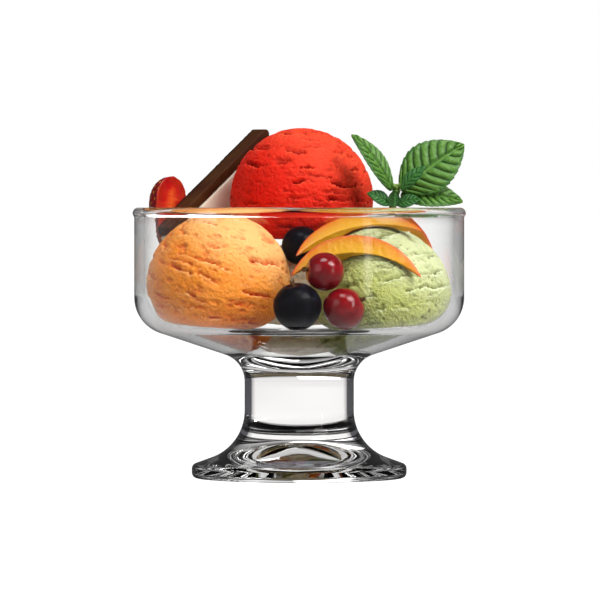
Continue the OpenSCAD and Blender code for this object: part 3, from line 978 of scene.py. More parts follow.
@dataclass
class PressedGlass:
    """The glass itself, turned as one piece: bowl, stem and foot. Sizes in millimetres and degrees."""

    bowl_d: float = 105.0
    glass_h: float = 86.0
    wall_t: float = 3.1
    bead_t: float = 3.6
    floor_t: float = 3.0
    floor_slope: float = 18.4
    bend_r: float = 12.0
    bend_in: float = 10.7
    wall_h: float = 28.0
    dish_r: float = 30.0
    neck_h: float = 37.2
    neck_r: float = 9.0
    stem_d: float = 34.8
    foot_d: float = 68.4
    foot_t: float = 4.2
    foot_slope: float = 20.0
    flare_r: float = 16.0
    foot_round: float = 1.7
    ring_w: float = 5.0
    hollow_h: float = 9.0
    hollow_r: float = 24.0
    crease: float = 0.12
    turns: int = 288
    arc_step: float = 3.0
    straight_step: float = 2.5
    ring_round: float = 0.8
    wall_fade: float = 8.0
    disc_share: float = 0.45
    ripple_pitch: float = 7.0
    ripple_under: float = 0.08
    ripple_floor: float = 0.05
    under_r: Pair = (27.0, 24.0)
    under_z: Pair = (9.5, 8.0)
    floor_r: Pair = (30.0, 20.0)
    floor_z: Pair = (36.0, 38.0)

    def _under(self, r: float) -> float:
        """Height of the bowl's underside at a radius."""
        return self.neck_h + (r - self.stem_d / 2) * math.tan(math.radians(self.floor_slope))

    def _floor(self, r: float) -> float:
        """Height of the bowl's floor at a radius."""
        return self._under(r) + self.floor_t / math.cos(math.radians(self.floor_slope))

    def _arc(self, centre: Pair, r: float, start: float, end: float) -> list[Pair]:
        """Points along an arc.

        Args:
            centre: Radius and height of the arc's centre.
            r: The arc's radius.
            start: First angle in degrees.
            end: Last angle in degrees.

        Returns:
            Radius and height of each point.
        """
        count = max(2, int(abs(end - start) / self.arc_step) + 1)
        angles = np.radians(np.linspace(start, end, count))
        return [(centre[0] + r * math.cos(a), centre[1] + r * math.sin(a)) for a in angles]

    def _rounded(self, corners: Sequence[Point]) -> list[Pair]:
        """Rounds the corners of an open line.

        Args:
            corners: Radius, height and rounding of each corner.

        Returns:
            Radius and height of each point.
        """
        line: list[Pair] = [corners[0][:2]]
        for before, here, after in zip(corners, corners[1:], corners[2:]):
            if here[2] <= 0:
                line.append(here[:2])
                continue
            b = np.array(here[:2])
            u = np.array(before[:2]) - b
            v = np.array(after[:2]) - b
            u /= np.linalg.norm(u)
            v /= np.linalg.norm(v)
            half = math.acos(float(np.clip(u @ v, -1, 1))) / 2
            middle = b + (u + v) / np.linalg.norm(u + v) * here[2] / math.sin(half)
            first = b + u * here[2] / math.tan(half) - middle
            last = b + v * here[2] / math.tan(half) - middle
            a0 = math.degrees(math.atan2(first[1], first[0]))
            a1 = math.degrees(math.atan2(last[1], last[0]))
            a1 = a0 + (a1 - a0 + 180) % 360 - 180
            line += self._arc((float(middle[0]), float(middle[1])), here[2], a0, a1)
        line.append(corners[-1][:2])
        return line

    def profile(self) -> np.ndarray:
        """The outline that is turned, from under the foot round to the bowl's floor.

        Returns:
            Rows of radius and height.
        """
        bowl_r, stem_r, foot_r = self.bowl_d / 2, self.stem_d / 2, self.foot_d / 2
        inner_r = bowl_r - self.wall_t
        bead_r = self.bead_t / 2
        hollow_edge = foot_r - self.foot_round - self.ring_w
        lean = math.atan2(self.hollow_h, hollow_edge)
        low = self.hollow_h - self.hollow_r / math.cos(lean)
        hollow = self._arc((0.0, low), self.hollow_r, 90.0, 90.0 - math.degrees(lean))
        flare = self.foot_t + (foot_r - stem_r) * math.tan(math.radians(self.foot_slope))
        bead_z = self.glass_h - bead_r
        bead_c = inner_r + bead_r
        drop = math.sqrt(bead_r**2 - (bowl_r - bead_c) ** 2)
        outside = self._rounded([
            (*hollow[-1], 0.0),
            (hollow_edge, 0.0, self.ring_round),
            (foot_r, 0.0, self.foot_round),
            (foot_r, self.foot_t, self.foot_round),
            (stem_r, flare, self.flare_r),
            (stem_r, self.neck_h, self.neck_r),
            (bowl_r, self._under(bowl_r), self.bend_r),
            (bowl_r, bead_z - drop - self.crease, 0.0),
            (bowl_r, bead_z - drop, 0.0),
        ])
        start = -math.degrees(math.asin(drop / bead_r))
        bead = self._arc((bead_c, bead_z), bead_r, start, 180.0)
        slope = math.radians(self.floor_slope)
        dish_edge = self.dish_r * math.sin(slope)
        inside = self._rounded([
            (inner_r, bead_z, 0.0),
            (inner_r, self._floor(inner_r), self.bend_in),
            (dish_edge, self._floor(dish_edge), 0.0),
        ])
        dish_z = self._floor(dish_edge) + self.dish_r * math.cos(slope)
        dish = self._arc((0.0, dish_z), self.dish_r, -90.0 + self.floor_slope, -90.0)
        line = hollow[:-1] + outside + bead[1:] + inside[1:] + dish[1:]
        return self._divided(np.array(line))

    def _divided(self, line: np.ndarray) -> np.ndarray:
        """Divides the long straights of a line.

        Args:
            line: Rows of radius and height.

        Returns:
            Rows of radius and height.
        """
        out = [line[0]]
        for a, b in zip(line, line[1:]):
            span = float(np.linalg.norm(b - a))
            if span < 1e-6:
                continue
            count = max(1, math.ceil(span / self.straight_step))
            out += [a + (b - a) * (k + 1) / count for k in range(count)]
        return np.array(out)

    def build(self, finish: ClearGlass) -> Piece:
        """Turns the profile into one closed shell.

        Args:
            finish: Finish of the glass.

        Returns:
            The piece.
        """
        line = self.profile()
        rings = line[1:-1]
        angles = np.linspace(0, 2 * math.pi, self.turns, endpoint=False)
        radius, height = rings[:, 0, None], rings[:, 1, None]
        shell = np.stack([
            radius * np.cos(angles), radius * np.sin(angles), np.repeat(height, self.turns, 1),
        ], axis=2).reshape(-1, 3)
        ends = [(0.0, 0.0, float(z)) for z in line[[0, -1], 1]]
        points = np.vstack([shell, ends])
        points = points + self._ripple(points)
        faces: list[tuple[int, ...]] = []
        count, turns = len(rings), self.turns
        for k in range(turns):
            n = (k + 1) % turns
            faces.append((k, n, count * turns))
            top = (count - 1) * turns
            faces.append((top + n, top + k, count * turns + 1))
            for r in range(count - 1):
                a = r * turns
                faces.append((a + k, a + turns + k, a + turns + n, a + n))
        piece = mesh_piece("glass_vessel", points, faces)
        shape = bmesh.new()
        shape.from_mesh(piece.data)
        bmesh.ops.recalc_face_normals(shape, faces=shape.faces)
        shape.to_mesh(piece.data)
        shape.free()
        self._mark(piece.data, points)
        return finish_piece(piece, "glass", finish.make(), "clear_glass", "bowl", "stem", "foot")

    def _mark(self, mesh: bpy.types.Mesh, points: np.ndarray) -> None:
        """Notes where the glass is solid, where it is upright wall and where it is bead.

        Args:
            mesh: The glass.
            points: Its points in millimetres.
        """
        out, z = np.hypot(points[:, 0], points[:, 1]), points[:, 2]
        stem_r = self.stem_d / 2
        column = ease(self.neck_h + 2.0, self.neck_h - 6.0, z)
        disc = ease(stem_r + 1.0, stem_r + 7.0, out)
        # The solid share also sets how strongly the painted dark edges show
        note(mesh, "solid", column * (1 - (1 - self.disc_share) * disc))
        wall_low = self.glass_h - self.wall_h
        note(mesh, "wall", ease(wall_low, wall_low + self.wall_fade, z))
        bead_low = self.glass_h - self.bead_t
        note(mesh, "bead", ease(bead_low - 0.5, bead_low + 0.5, z))

    def _ripple(self, points: np.ndarray) -> np.ndarray:
        """Slight unevenness that pressing leaves under the foot and on the bowl's floor.

        Args:
            points: Rows of x, y and z in millimetres.

        Returns:
            How far each point goes, as rows of x, y and z.
        """
        r = np.hypot(points[:, 0], points[:, 1])
        z = points[:, 2]
        under = ease(*self.under_r, r) * ease(*self.under_z, z)
        floor = ease(*self.floor_r, r) * ease(*self.floor_z, z)
        wave = Grain(4).layers(points / self.ripple_pitch, 2)
        move = np.zeros_like(points)
        move[:, 2] = self.ripple_under * under * wave + self.ripple_floor * floor * wave
        return move


class IceMark(Enum):
    """The kind of surface that the scoop leaves, as its shares of torn flakes and of pits."""

    FLAKED = (0.25, 0.5)
    CRACKED = (0.5, 0.6)
    PITTED = (0.2, 1.0)


@dataclass
class Scoop:
    """One scoop: its CAD solid, roughened inwards. Sizes in millimetres and degrees."""

    name: str
    node: str
    body: str
    slot: str
    centre: Point
    radius: float
    mark: IceMark
    tilt: float
    pitch: float
    ledge: float
    seed: int
    finish: IceFinish
    pit: float = 0.35
    lump: float = 0.4
    crumb: float = 0.3
    lump_pitch: float = 13.0
    crumb_pitch: float = 1.3
    pit_pitch: float = 2.1
    pit_w: Pair = (0.16, 0.2)
    tear_w: Pair = (0.22, 0.26)
    sway: Pair = (0.42, 1.9)
    jag: Pair = (0.7, 1.7)
    fine_share: float = 0.47
    patch: Point = (9.0, 4.5, 9.0)
    flake: Point = (5.2, 2.3, 4.0)
    fall: float = 0.95
    # The next two: how far the painted highlight on each lip reaches below a torn line, and roughly the way
    # the key light comes from, for the painted light on the scoop's lit side
    lip: float = 0.45
    lit_side_way: Point = (0.48, -0.22, 0.85)
    voxel: float = 0.42
    soften: int = 2

    def _across(self, p: np.ndarray) -> tuple[np.ndarray, np.ndarray]:
        """Measures along and across the torn lines.

        Args:
            p: Rows of x, y and z from the scoop's middle.

        Returns:
            The distance along the lines and the distance across them.
        """
        tilt = math.radians(self.tilt)
        along = p[:, 0] * math.cos(tilt) + p[:, 2] * math.sin(tilt)
        across = p[:, 2] * math.cos(tilt) - p[:, 0] * math.sin(tilt)
        return along, across

    def _ledges(
        self, p: np.ndarray, pitch: float, shift: int, most: float
    ) -> tuple[np.ndarray, np.ndarray]:
        """Torn lines across the scoop: deep just above a lip, and fading upwards.

        Args:
            p: Rows of x, y and z from the scoop's middle.
            pitch: Distance between the lines.
            shift: Added to the seed, so that each set of lines is its own.
            most: How readily lines open, from -0.5, hardly, to 0.5, everywhere.

        Returns:
            How deep each point lies, from 0 to 1, and how much of a lip it is.
        """
        seed = self.seed + shift
        along, across = self._across(p)
        warp = self.sway[0] * pitch * Grain(seed).layers(p / (self.sway[1] * pitch), 3)
        warp += self.jag[0] * Grain(seed + 11).layers(p / self.jag[1], 2)
        step = (across + warp) / pitch
        part = step - np.floor(step)
        flat = np.stack([along, across, p[:, 1]], 1) / np.array(self.patch)
        patch = Grain(seed + 23).layers(flat, 3)
        gape = ease(0.02 - most, 0.3 - most, patch)
        deep = np.exp(-part * pitch / self.fall) * gape
        lip = np.exp(-(1 - part) * pitch / self.lip) * gape
        return deep, lip

    def _holes(self, shift: int, cells: np.ndarray, width: Pair, floor: float, bare: float) -> np.ndarray:
        """Scattered holes, at most one to a cell.

        Args:
            shift: Added to the seed, so that each set of holes is its own.
            cells: Rows of x, y and z, in cells.
            width: Width of the smallest hole and how much wider others may be, in cells.
            floor: Where a hole's floor starts, as a share of its width.
            bare: Share of the cells that have no hole.

        Returns:
            How deep each point lies, from 0 to 1.
        """
        near, own = Grain(self.seed + shift).spots(cells)
        return ease(1.0, floor, near / (width[0] + width[1] * own)) * (own > bare)

    def _tears(self, p: np.ndarray) -> np.ndarray:
        """Short flakes torn out along the lines.

        Args:
            p: Rows of x, y and z from the scoop's middle.

        Returns:
            How deep each point lies, from 0 to 1.
        """
        along, across = self._across(p)
        wander = 0.5 * Grain(self.seed + 61).layers(p / 2.0, 2)
        flat = np.stack([along, across + wander, p[:, 1]], 1) / np.array(self.flake)
        return self._holes(62, flat, self.tear_w, 0.35, 0.35)

    def _pits(self, p: np.ndarray) -> np.ndarray:
        """Small holes that trapped air leaves: how deep each point lies, from 0 to 1."""
        return self._holes(31, p / self.pit_pitch, self.pit_w, 0.2, 0.45)

    def build(self, effects: Effects) -> Piece:
        """Builds the scoop.

        Args:
            effects: The shared shader groups.

        Returns:
            The piece.
        """
        piece = even_skin(self.name, self.node, self.voxel, self.soften)
        mesh = piece.data
        points, normals = points_of(mesh), normals_of(mesh)
        p = points - np.array(self.centre)
        deep, lip = self._ledges(p, self.pitch, 0, 0.04)
        fine, edge = self._ledges(p, self.pitch * self.fine_share, 5, 0.0)
        pits = self._pits(p)
        tears = self._tears(p)
        lump = 0.5 + 0.5 * Grain(self.seed + 41).layers(p / self.lump_pitch, 3)
        crumb = 0.5 + 0.5 * Grain(self.seed + 51).layers(p / self.crumb_pitch, 3)
        tear_share, pit_share = self.mark.value
        inward = self.lump * lump + self.ledge * (deep + 0.5 * fine)
        inward += tear_share * tears + self.pit * pit_share * pits + self.crumb * crumb
        move_points(mesh, points - normals * inward[:, None])
        # Painted shade: cracks, tears and pits darken, the lower part of the scoop darkens, and lumps
        # change the tone at random
        hollow = 1.1 * deep + 0.7 * fine + 0.6 * tear_share * tears + 0.7 * pits * pit_share
        level = p[:, 2] / self.radius + 0.15 * Grain(self.seed + 71).layers(p / 6.0, 2)
        low_shade = 0.4 * ease(0.1, -1.0, level)
        note(mesh, "depth", np.clip(hollow + low_shade + 0.25 * (lump - 0.5), 0, 1))
        # Painted light: points facing roughly toward the key light, up and to the right, and the lips of
        # the torn lines turn pale
        lit_side = ease(0.25, 0.95, normals @ np.array(self.lit_side_way))
        note(mesh, "lip", np.clip(0.75 * np.clip(lip + 0.6 * edge, 0, 1) + 0.65 * lit_side, 0, 1))
        return finish_piece(piece, self.body, self.finish.make(effects), self.slot, self.node)


@dataclass
class Berry:
    """A currant with its dried flower. Sizes in millimetres."""

    name: str
    node: str
    body: str
    slot: str
    centre: Point
    radius: float
    aim: Point
    finish: BerryFinish
    seed: int
    tuft_l: float = 2.4
    sepals: int = 9
    veins: int = 6
    uneven: float = 0.008
    flower_dent: Pair = (0.1, 0.035)
    stalk_dent: Pair = (0.03, 0.03)
    strip_w: float = 0.42
    strip_t: float = 0.12

    def _turn(self) -> np.ndarray:
        """Turns +Z to the way the flower points.

        Returns:
            A 3 by 3 matrix.
        """
        return np.array(Vector((0, 0, 1)).rotation_difference(Vector(self.aim)).to_matrix())

    def build(self, effects: Effects) -> list[Piece]:
        """Builds the berry's skin and, where it has one, the dried flower.

        Args:
            effects: The shared shader groups.

        Returns:
            The pieces.
        """
        unit, faces = ball(6)
        along = np.arctan2(unit[:, 1], unit[:, 0])
        height = unit[:, 2]
        dent = np.zeros(len(unit))
        for (deep, wide), end in ((self.flower_dent, 1), (self.stalk_dent, -1)):
            dent += deep * np.exp(-((1 - end * height) / wide))
        swell = self.uneven * Grain(self.seed).layers(unit * 2.2, 2)
        scale = self.radius * (1 - self.uneven - dent + swell)
        points = (unit * scale[:, None]) @ self._turn().T + np.array(self.centre)
        piece = mesh_piece(self.name, points, faces)
        lines = np.abs(np.sin(along * self.veins + 0.5 * Grain(self.seed + 3).at(unit * 3)))
        note(piece.data, "vein", 0.35 * ease(0.16, 0.02, lines) * ease(0.98, 0.8, np.abs(height)))
        note(piece.data, "tip", ease(0.965, 0.99, height))
        material = self.finish.make(effects)
        made = [finish_piece(piece, self.body, material, self.slot, self.node)]
        if self.sepals:
            made.append(self._tuft(effects))
        return made

    def _tuft(self, effects: Effects) -> Piece:
        """Builds the dried flower: curled brown strips round the berry's end.

        Args:
            effects: The shared shader groups.

        Returns:
            The piece.
        """
        rng = np.random.default_rng(self.seed)
        points: list[np.ndarray] = []
        faces: list[tuple[int, ...]] = []
        steps, sides = 7, 6
        for k in range(self.sepals):
            turn = 2 * math.pi * (k + rng.uniform(-0.25, 0.25)) / self.sepals
            long = self.tuft_l * rng.uniform(0.7, 1.0)
            lean = rng.uniform(0.05, 0.55)
            base = len(points)
            for s in range(steps):
                t = s / (steps - 1)
                out = 0.35 + lean * t**1.5 + 0.15 * math.sin(3 * t + k)
                up = self.radius * 0.9 + long * t
                wide = self.strip_w * (1 - 0.8 * t) + 0.03
                for q in range(sides):
                    a = 2 * math.pi * q / sides
                    x, y = out + self.strip_t * math.sin(a), wide * math.cos(a)
                    points.append(np.array([
                        x * math.cos(turn) - y * math.sin(turn),
                        x * math.sin(turn) + y * math.cos(turn),
                        up,
                    ]))
            faces += tube_faces(steps, sides, base)
        placed = np.array(points) @ self._turn().T + np.array(self.centre)
        piece = mesh_piece(self.name + "_flower", placed, faces)
        note(piece.data, "edge", ease(0.0, 1.0, np.linspace(0, 1, len(points))))
        return finish_piece(piece, self.body, DRIED_FLOWER.make(effects), self.slot)


@dataclass
class PeachSlice:
    """A slice of peach with skin along its back. Sizes in millimetres and degrees."""

    name: str
    node: str
    body: str
    place: Point
    turns: tuple[tuple[str, float], ...]
    seed: int
    width: float = 41.0
    height: float = 15.2
    thick: float = 6.2
    skin_t: float = 0.5
    uneven: float = 0.12
    fibre: Point = (1.1, 5.0, 1.1)
    fibre_d: float = 0.1
    voxel: float = 0.3
    soften: int = 5

    def _local(self, points: np.ndarray) -> np.ndarray:
        """Looks at points from the slice: its tips along X, its back to +Z.

        Args:
            points: Rows of x, y and z.

        Returns:
            The same rows, seen from the slice.
        """
        turn = Matrix.Identity(3)
        for axis, degrees in self.turns:
            turn = turn @ Matrix.Rotation(math.radians(degrees), 3, axis)
        return (points - np.array(self.place)) @ np.array(turn)

    def build(self, effects: Effects, finish: CutFruit) -> Piece:
        """Builds the slice.

        Args:
            effects: The shared shader groups.
            finish: Finish of the fruit.

        Returns:
            The piece.
        """
        piece = even_skin(self.name, self.node, self.voxel, self.soften)
        mesh = piece.data
        points, normals = points_of(mesh), normals_of(mesh)
        local = self._local(points)
        out = np.hypot(local[:, 1], local[:, 2])
        back_r = (self.width**2 / 4 + self.height**2) / (2 * self.height)
        below = back_r - np.hypot(out - (self.height - back_r), local[:, 0])
        swell = Grain(self.seed).layers(points / 3.2, 3)
        strands = np.stack([local[:, 0], out, local[:, 1]], 1) / np.array(self.fibre)
        fibre = Grain(self.seed + 5).layers(strands, 2)
        inward = self.uneven + self.uneven * swell + self.fibre_d * fibre * ease(0.3, 1.0, below)
        move_points(mesh, points - normals * inward[:, None])
        note(mesh, "skin", ease(self.skin_t + 0.25, self.skin_t - 0.25, below + 0.15 * swell))
        note(mesh, "core", np.clip(below / self.thick + 0.12 * swell, 0, 1))
        return finish_piece(piece, self.body, finish.make(effects), finish.part.value, self.node)


@dataclass
class StrawberryHalf:
    """Half a strawberry, cut face to the front. Sizes in millimetres and degrees."""

    shoulder: Point = (-40.1356, 17.2721, 96.395)
    turn: float = 51.4
    lean: float = 8.0
    long: float = 27.0
    wide: float = 15.0
    shoulder_share: float = 0.3
    taper: Pair = (1.5, 0.8)
    seeds: int = 90
    seed_size: Point = (0.36, 0.24, 0.62)
    seed_sunk: float = 0.42
    dimple: float = 0.45
    dimple_r: float = 0.85
    streak: Point = (6.0, 2.0, 0.9)
    voxel: float = 0.3
    soften: int = 3

    def _half_width(self, t: np.ndarray) -> np.ndarray:
        """Half of the strawberry's width along its length.

        Args:
            t: Places from the shoulder, 0, to the tip, 1.

        Returns:
            Half widths in millimetres.
        """
        s = self.shoulder_share
        top = np.sqrt(np.clip(1 - ((s - t) / s) ** 2, 0, 1))
        below = np.clip((t - s) / (1 - s), 0, 1)
        low = np.cos(math.pi / 2 * below ** self.taper[0]) ** self.taper[1]
        return self.wide / 2 * np.where(t < s, top, low)

    def _axes(self) -> np.ndarray:
        """The strawberry's own axes: along the cut, out of its back, and up.

        Returns:
            A 3 by 3 matrix, one axis to a column.
        """
        turn = Matrix.Rotation(math.radians(self.turn), 3, "Z")
        lean = Matrix.Rotation(math.radians(self.lean), 3, "Y")
        return np.array(turn @ lean)

    def build(self, effects: Effects, finish: CutFruit) -> list[Piece]:
        """Builds the flesh and the seeds on its skin.

        Args:
            effects: The shared shader groups.
            finish: Finish of the fruit.

        Returns:
            The pieces.
        """
        piece = even_skin("strawberry_flesh", "strawberry_half", self.voxel, self.soften)
        mesh = piece.data
        points, normals = points_of(mesh), normals_of(mesh)
        local = (points - np.array(self.shoulder)) @ self._axes()
        spots, ways = self._seed_places()
        behind = local[:, 1]
        on_skin = ease(0.3, 0.8, behind)
        away = distance_to(spots, local)
        dimple = self.dimple * np.exp(-((away / self.dimple_r) ** 2)) * on_skin
        swell = Grain(8).layers(points / 2.4, 3)
        move_points(mesh, points - normals * (0.15 + dimple + 0.12 * swell)[:, None])
        t = np.clip(-local[:, 2] / self.long, 0.02, 0.98)
        half = np.maximum(self._half_width(t), 0.6)
        streak = Grain(9).layers(local / np.array(self.streak), 2)
        core = np.clip(0.9 - np.abs(local[:, 0]) / half + 0.4 * streak, 0, 1) * ease(0.03, 0.24, t)
        note(mesh, "skin", on_skin)
        note(mesh, "core", core)
        slot = finish.part.value
        flesh = finish_piece(piece, "strawberry", finish.make(effects), slot, "strawberry_half")
        keep = (distance_to(local, spots) < 0.45) & (spots[:, 1] > 0.7)
        return [flesh, self._seed_piece(effects, slot, spots[keep], ways[keep])]

    def _seed_places(self) -> tuple[np.ndarray, np.ndarray]:
        """Spreads the seeds over the skin in a spiral.

        Returns:
            Places and outward directions, both on the strawberry's own axes.
        """
        k = np.arange(self.seeds)
        t = 0.04 + 0.92 * (k + 0.5) / self.seeds
        angle = (k * GOLDEN_SHARE % 1.0) * math.pi
        half = self._half_width(t)
        spots = np.stack([half * np.cos(angle), half * np.sin(angle), -self.long * t], 1)
        slope = (self._half_width(t + 0.01) - self._half_width(t - 0.01)) / (0.02 * self.long)
        ways = np.stack([np.cos(angle), np.sin(angle), slope], 1)
        return spots, ways / np.linalg.norm(ways, axis=1)[:, None]

    def _seed_piece(self, effects: Effects, slot: str, spots: np.ndarray, ways: np.ndarray) -> Piece:
        """Builds all the seeds as one piece.

        Args:
            effects: The shared shader groups.
            slot: Name of the material slot.
            spots: Places on the strawberry's own axes.
            ways: Outward directions there.

        Returns:
            The piece.
        """
        unit, corners = ball(2)
        drop = unit * np.array(self.seed_size)
        drop[:, 0] *= 1 - 0.45 * unit[:, 2]
        points: list[np.ndarray] = []
        faces: list[list[int]] = []
        for spot, way in zip(spots, ways):
            side = np.cross(way, (0.0, 0.0, 1.0))
            side /= np.linalg.norm(side)
            up = np.cross(side, way)
            base = len(points) * len(unit)
            points.append(drop @ np.stack([side, way, up]) + spot - self.seed_sunk * way)
            faces += [[base + c for c in f] for f in corners]
        placed = np.vstack(points) @ self._axes().T + np.array(self.shoulder)
        piece = mesh_piece("strawberry_seeds", placed, faces)
        note(piece.data, "edge", np.tile(ease(-1.0, 1.0, unit[:, 2]), len(points)))
        return finish_piece(piece, "strawberry", STRAWBERRY_SEED.make(effects), slot)


@dataclass
class CoconutSlice:
    """The slice behind the top scoop: dark rind and pale flesh. Sizes in millimetres and degrees."""

    turn: float = 51.4
    end: Point = (0.776687, 20.4443, 113.188)
    stand_off: float = 23.7
    thick: float = 6.0
    rind_relief: float = 0.22
    flesh_relief: float = 0.1
    voxel: float = 0.32
    soften: int = 10

    def _behind(self, points: np.ndarray) -> np.ndarray:
        """How far points lie behind the slice's front face.

        Args:
            points: Rows of x, y and z.

        Returns:
            Distances in millimetres.
        """
        flat = math.radians(self.turn)
        out = -(points[:, 0] - self.end[0]) * math.sin(flat) + (points[:, 1] - self.end[1]) * math.cos(flat)
        return out - self.stand_off

    def build(self, effects: Effects, rind: NutFinish, flesh: NutFinish) -> list[Piece]:
        """Builds both layers.

        Args:
            effects: The shared shader groups.
            rind: Finish of the rind.
            flesh: Finish of the flesh.

        Returns:
            The pieces.
        """
        made = []
        for name, node, finish, slot, relief in (
            ("coconut_shell", "coconut_rind", rind, "coconut_rind", self.rind_relief),
            ("coconut_meat", "coconut_flesh", flesh, "coconut_flesh", self.flesh_relief),
        ):
            piece = even_skin(name, node, self.voxel, self.soften)
            mesh = piece.data
            points, normals = points_of(mesh), normals_of(mesh)
            swell = Grain(61).layers(points / 4.5, 3)
            inward = 0.08 + relief * (0.5 + 0.5 * swell)
            move_points(mesh, points - normals * inward[:, None])
            note(mesh, "edge", ease(self.thick * 0.7, self.thick * 0.9, self._behind(points)))
            made.append(finish_piece(piece, "coconut_slice", finish.make(effects), slot, node))
        return made


@dataclass
class MintLeaf:
    """One toothed, quilted leaf. Sizes in millimetres and degrees."""

    name: str
    node: str
    long: float
    wide: float
    turn: float
    rise: float
    roll: float
    start: Point
    seed: int
    pairs: int = 7
    teeth: int = 11
    quilt: float = 0.75
    thick: float = 0.34
    arch_share: float = 1.6
    taper: Pair = (0.85, 0.75)
    tooth: float = 0.055
    vein_slant: float = 0.25
    rib_w: float = 0.9
    rib_d: float = 0.3
    wrinkle: float = 0.07
    cup: float = 0.04
    rows: int = 150
    columns: int = 61

    def build(self, effects: Effects, finish: LeafFinish, top: Point) -> Piece:
        """Builds the leaf as a thin closed shell.

        Args:
            effects: The shared shader groups.
            finish: Finish of the leaf.
            top: Where the sprig's leaves meet.

        Returns:
            The piece.
        """
        upper, groove, swell = self._blade()
        points = np.vstack([upper, upper - np.array([0.0, 0.0, self.thick])])
        turn = (
            Matrix.Rotation(math.radians(self.turn), 3, "Z")
            @ Matrix.Rotation(math.radians(-self.rise), 3, "Y")
            @ Matrix.Rotation(math.radians(self.roll), 3, "X")
        )
        placed = points @ np.array(turn).T + np.array(top) + np.array(self.start)
        piece = mesh_piece(self.name, placed, self._faces())
        # Painted shade in the vein grooves and painted highlight on the swells
        note(piece.data, "groove", np.tile(groove, 2))
        note(piece.data, "swell", np.tile(swell, 2))
        nodes = (self.node,) if self.node else ()
        return finish_piece(piece, "mint_sprig", finish.make(effects), "mint_leaf", *nodes)

    def _blade(self) -> tuple[np.ndarray, np.ndarray, np.ndarray]:
        """Shapes the upper side, flat out along X: arched, toothed, and quilted between its veins.

        Returns:
            Rows of x, y and z, then how much painted shade each point gets in a groove, and how much
            lighter it is: painted highlight on a swell, and a paler midrib.
        """
        t = np.repeat(np.linspace(0.0, 1.0, self.rows), self.columns)
        v = np.tile(np.linspace(-1.0, 1.0, self.columns), self.rows)
        side = np.abs(v)
        half = np.maximum(0.05, np.sin(math.pi * t ** self.taper[0]) ** self.taper[1])
        tooth = 1 + self.tooth * ((t * self.teeth) % 1.0 - 0.6) * ease(0.04, 0.12, t)
        x = self.long * t + 0.02 * self.long * side**2 * ease(0.0, 0.2, t) * (1 - t)
        y = v * self.wide / 2 * half * np.where(side > 0.999, tooth, 1 + (tooth - 1) * side**6)
        arch = self.long * self.arch_share
        sag = arch - math.sqrt(arch**2 - self.long**2 / 4)
        z = sag - (arch - np.sqrt(arch**2 - (self.long * t - self.long / 2) ** 2))
        wander = 0.018 * Grain(self.seed + 9).layers(np.stack([t * 6, np.sign(v) * 3, side * 2], 1), 2)
        slant = self.vein_slant * side**1.2 * (1 - 0.35 * t)
        count = (t - slant + 0.02 * (v > 0) + wander) * (self.pairs + 1)
        from_vein = 1 - np.abs(count - np.floor(count) - 0.5) * 2
        swell = (1 - (1 - from_vein) ** 2.4) * ease(0.02, 0.2, side) * ease(1.0, 0.75, side)
        fine = Grain(self.seed).layers(np.stack([t * 30, v * 12, 0 * t], 1), 2)
        rib = np.exp(-((side * half * self.wide / self.rib_w) ** 2))
        z += self.quilt * (swell - 0.6) * ease(0.0, 0.15, half)
        z += self.wrinkle * fine * swell - self.rib_d * rib
        z += self.cup * self.wide * side**2 * half
        groove = ease(0.22, 0.02, from_vein) * ease(0.03, 0.12, side) * ease(1.0, 0.7, side)
        return np.stack([x, y, z], 1), groove, np.clip(0.6 * swell + 0.8 * rib, 0, 1)

    def _faces(self) -> list[tuple[int, ...]]:
        """Faces of the upper side, the lower side and the edge between them.

        Returns:
            Corner indices of each face.
        """
        rows, columns = self.rows, self.columns
        under = rows * columns
        faces: list[tuple[int, ...]] = []
        for r in range(rows - 1):
            for c in range(columns - 1):
                a = r * columns + c
                b = a + columns
                faces.append((a, b, b + 1, a + 1))
                faces.append((under + a, under + a + 1, under + b + 1, under + b))
        edge = list(range(columns))
        edge += [r * columns + columns - 1 for r in range(1, rows)]
        edge += [(rows - 1) * columns + c for c in range(columns - 2, -1, -1)]
        edge += [r * columns for r in range(rows - 2, 0, -1)]
        for a, b in zip(edge, edge[1:] + edge[:1]):
            faces.append((a, b, under + b, under + a))
        return faces


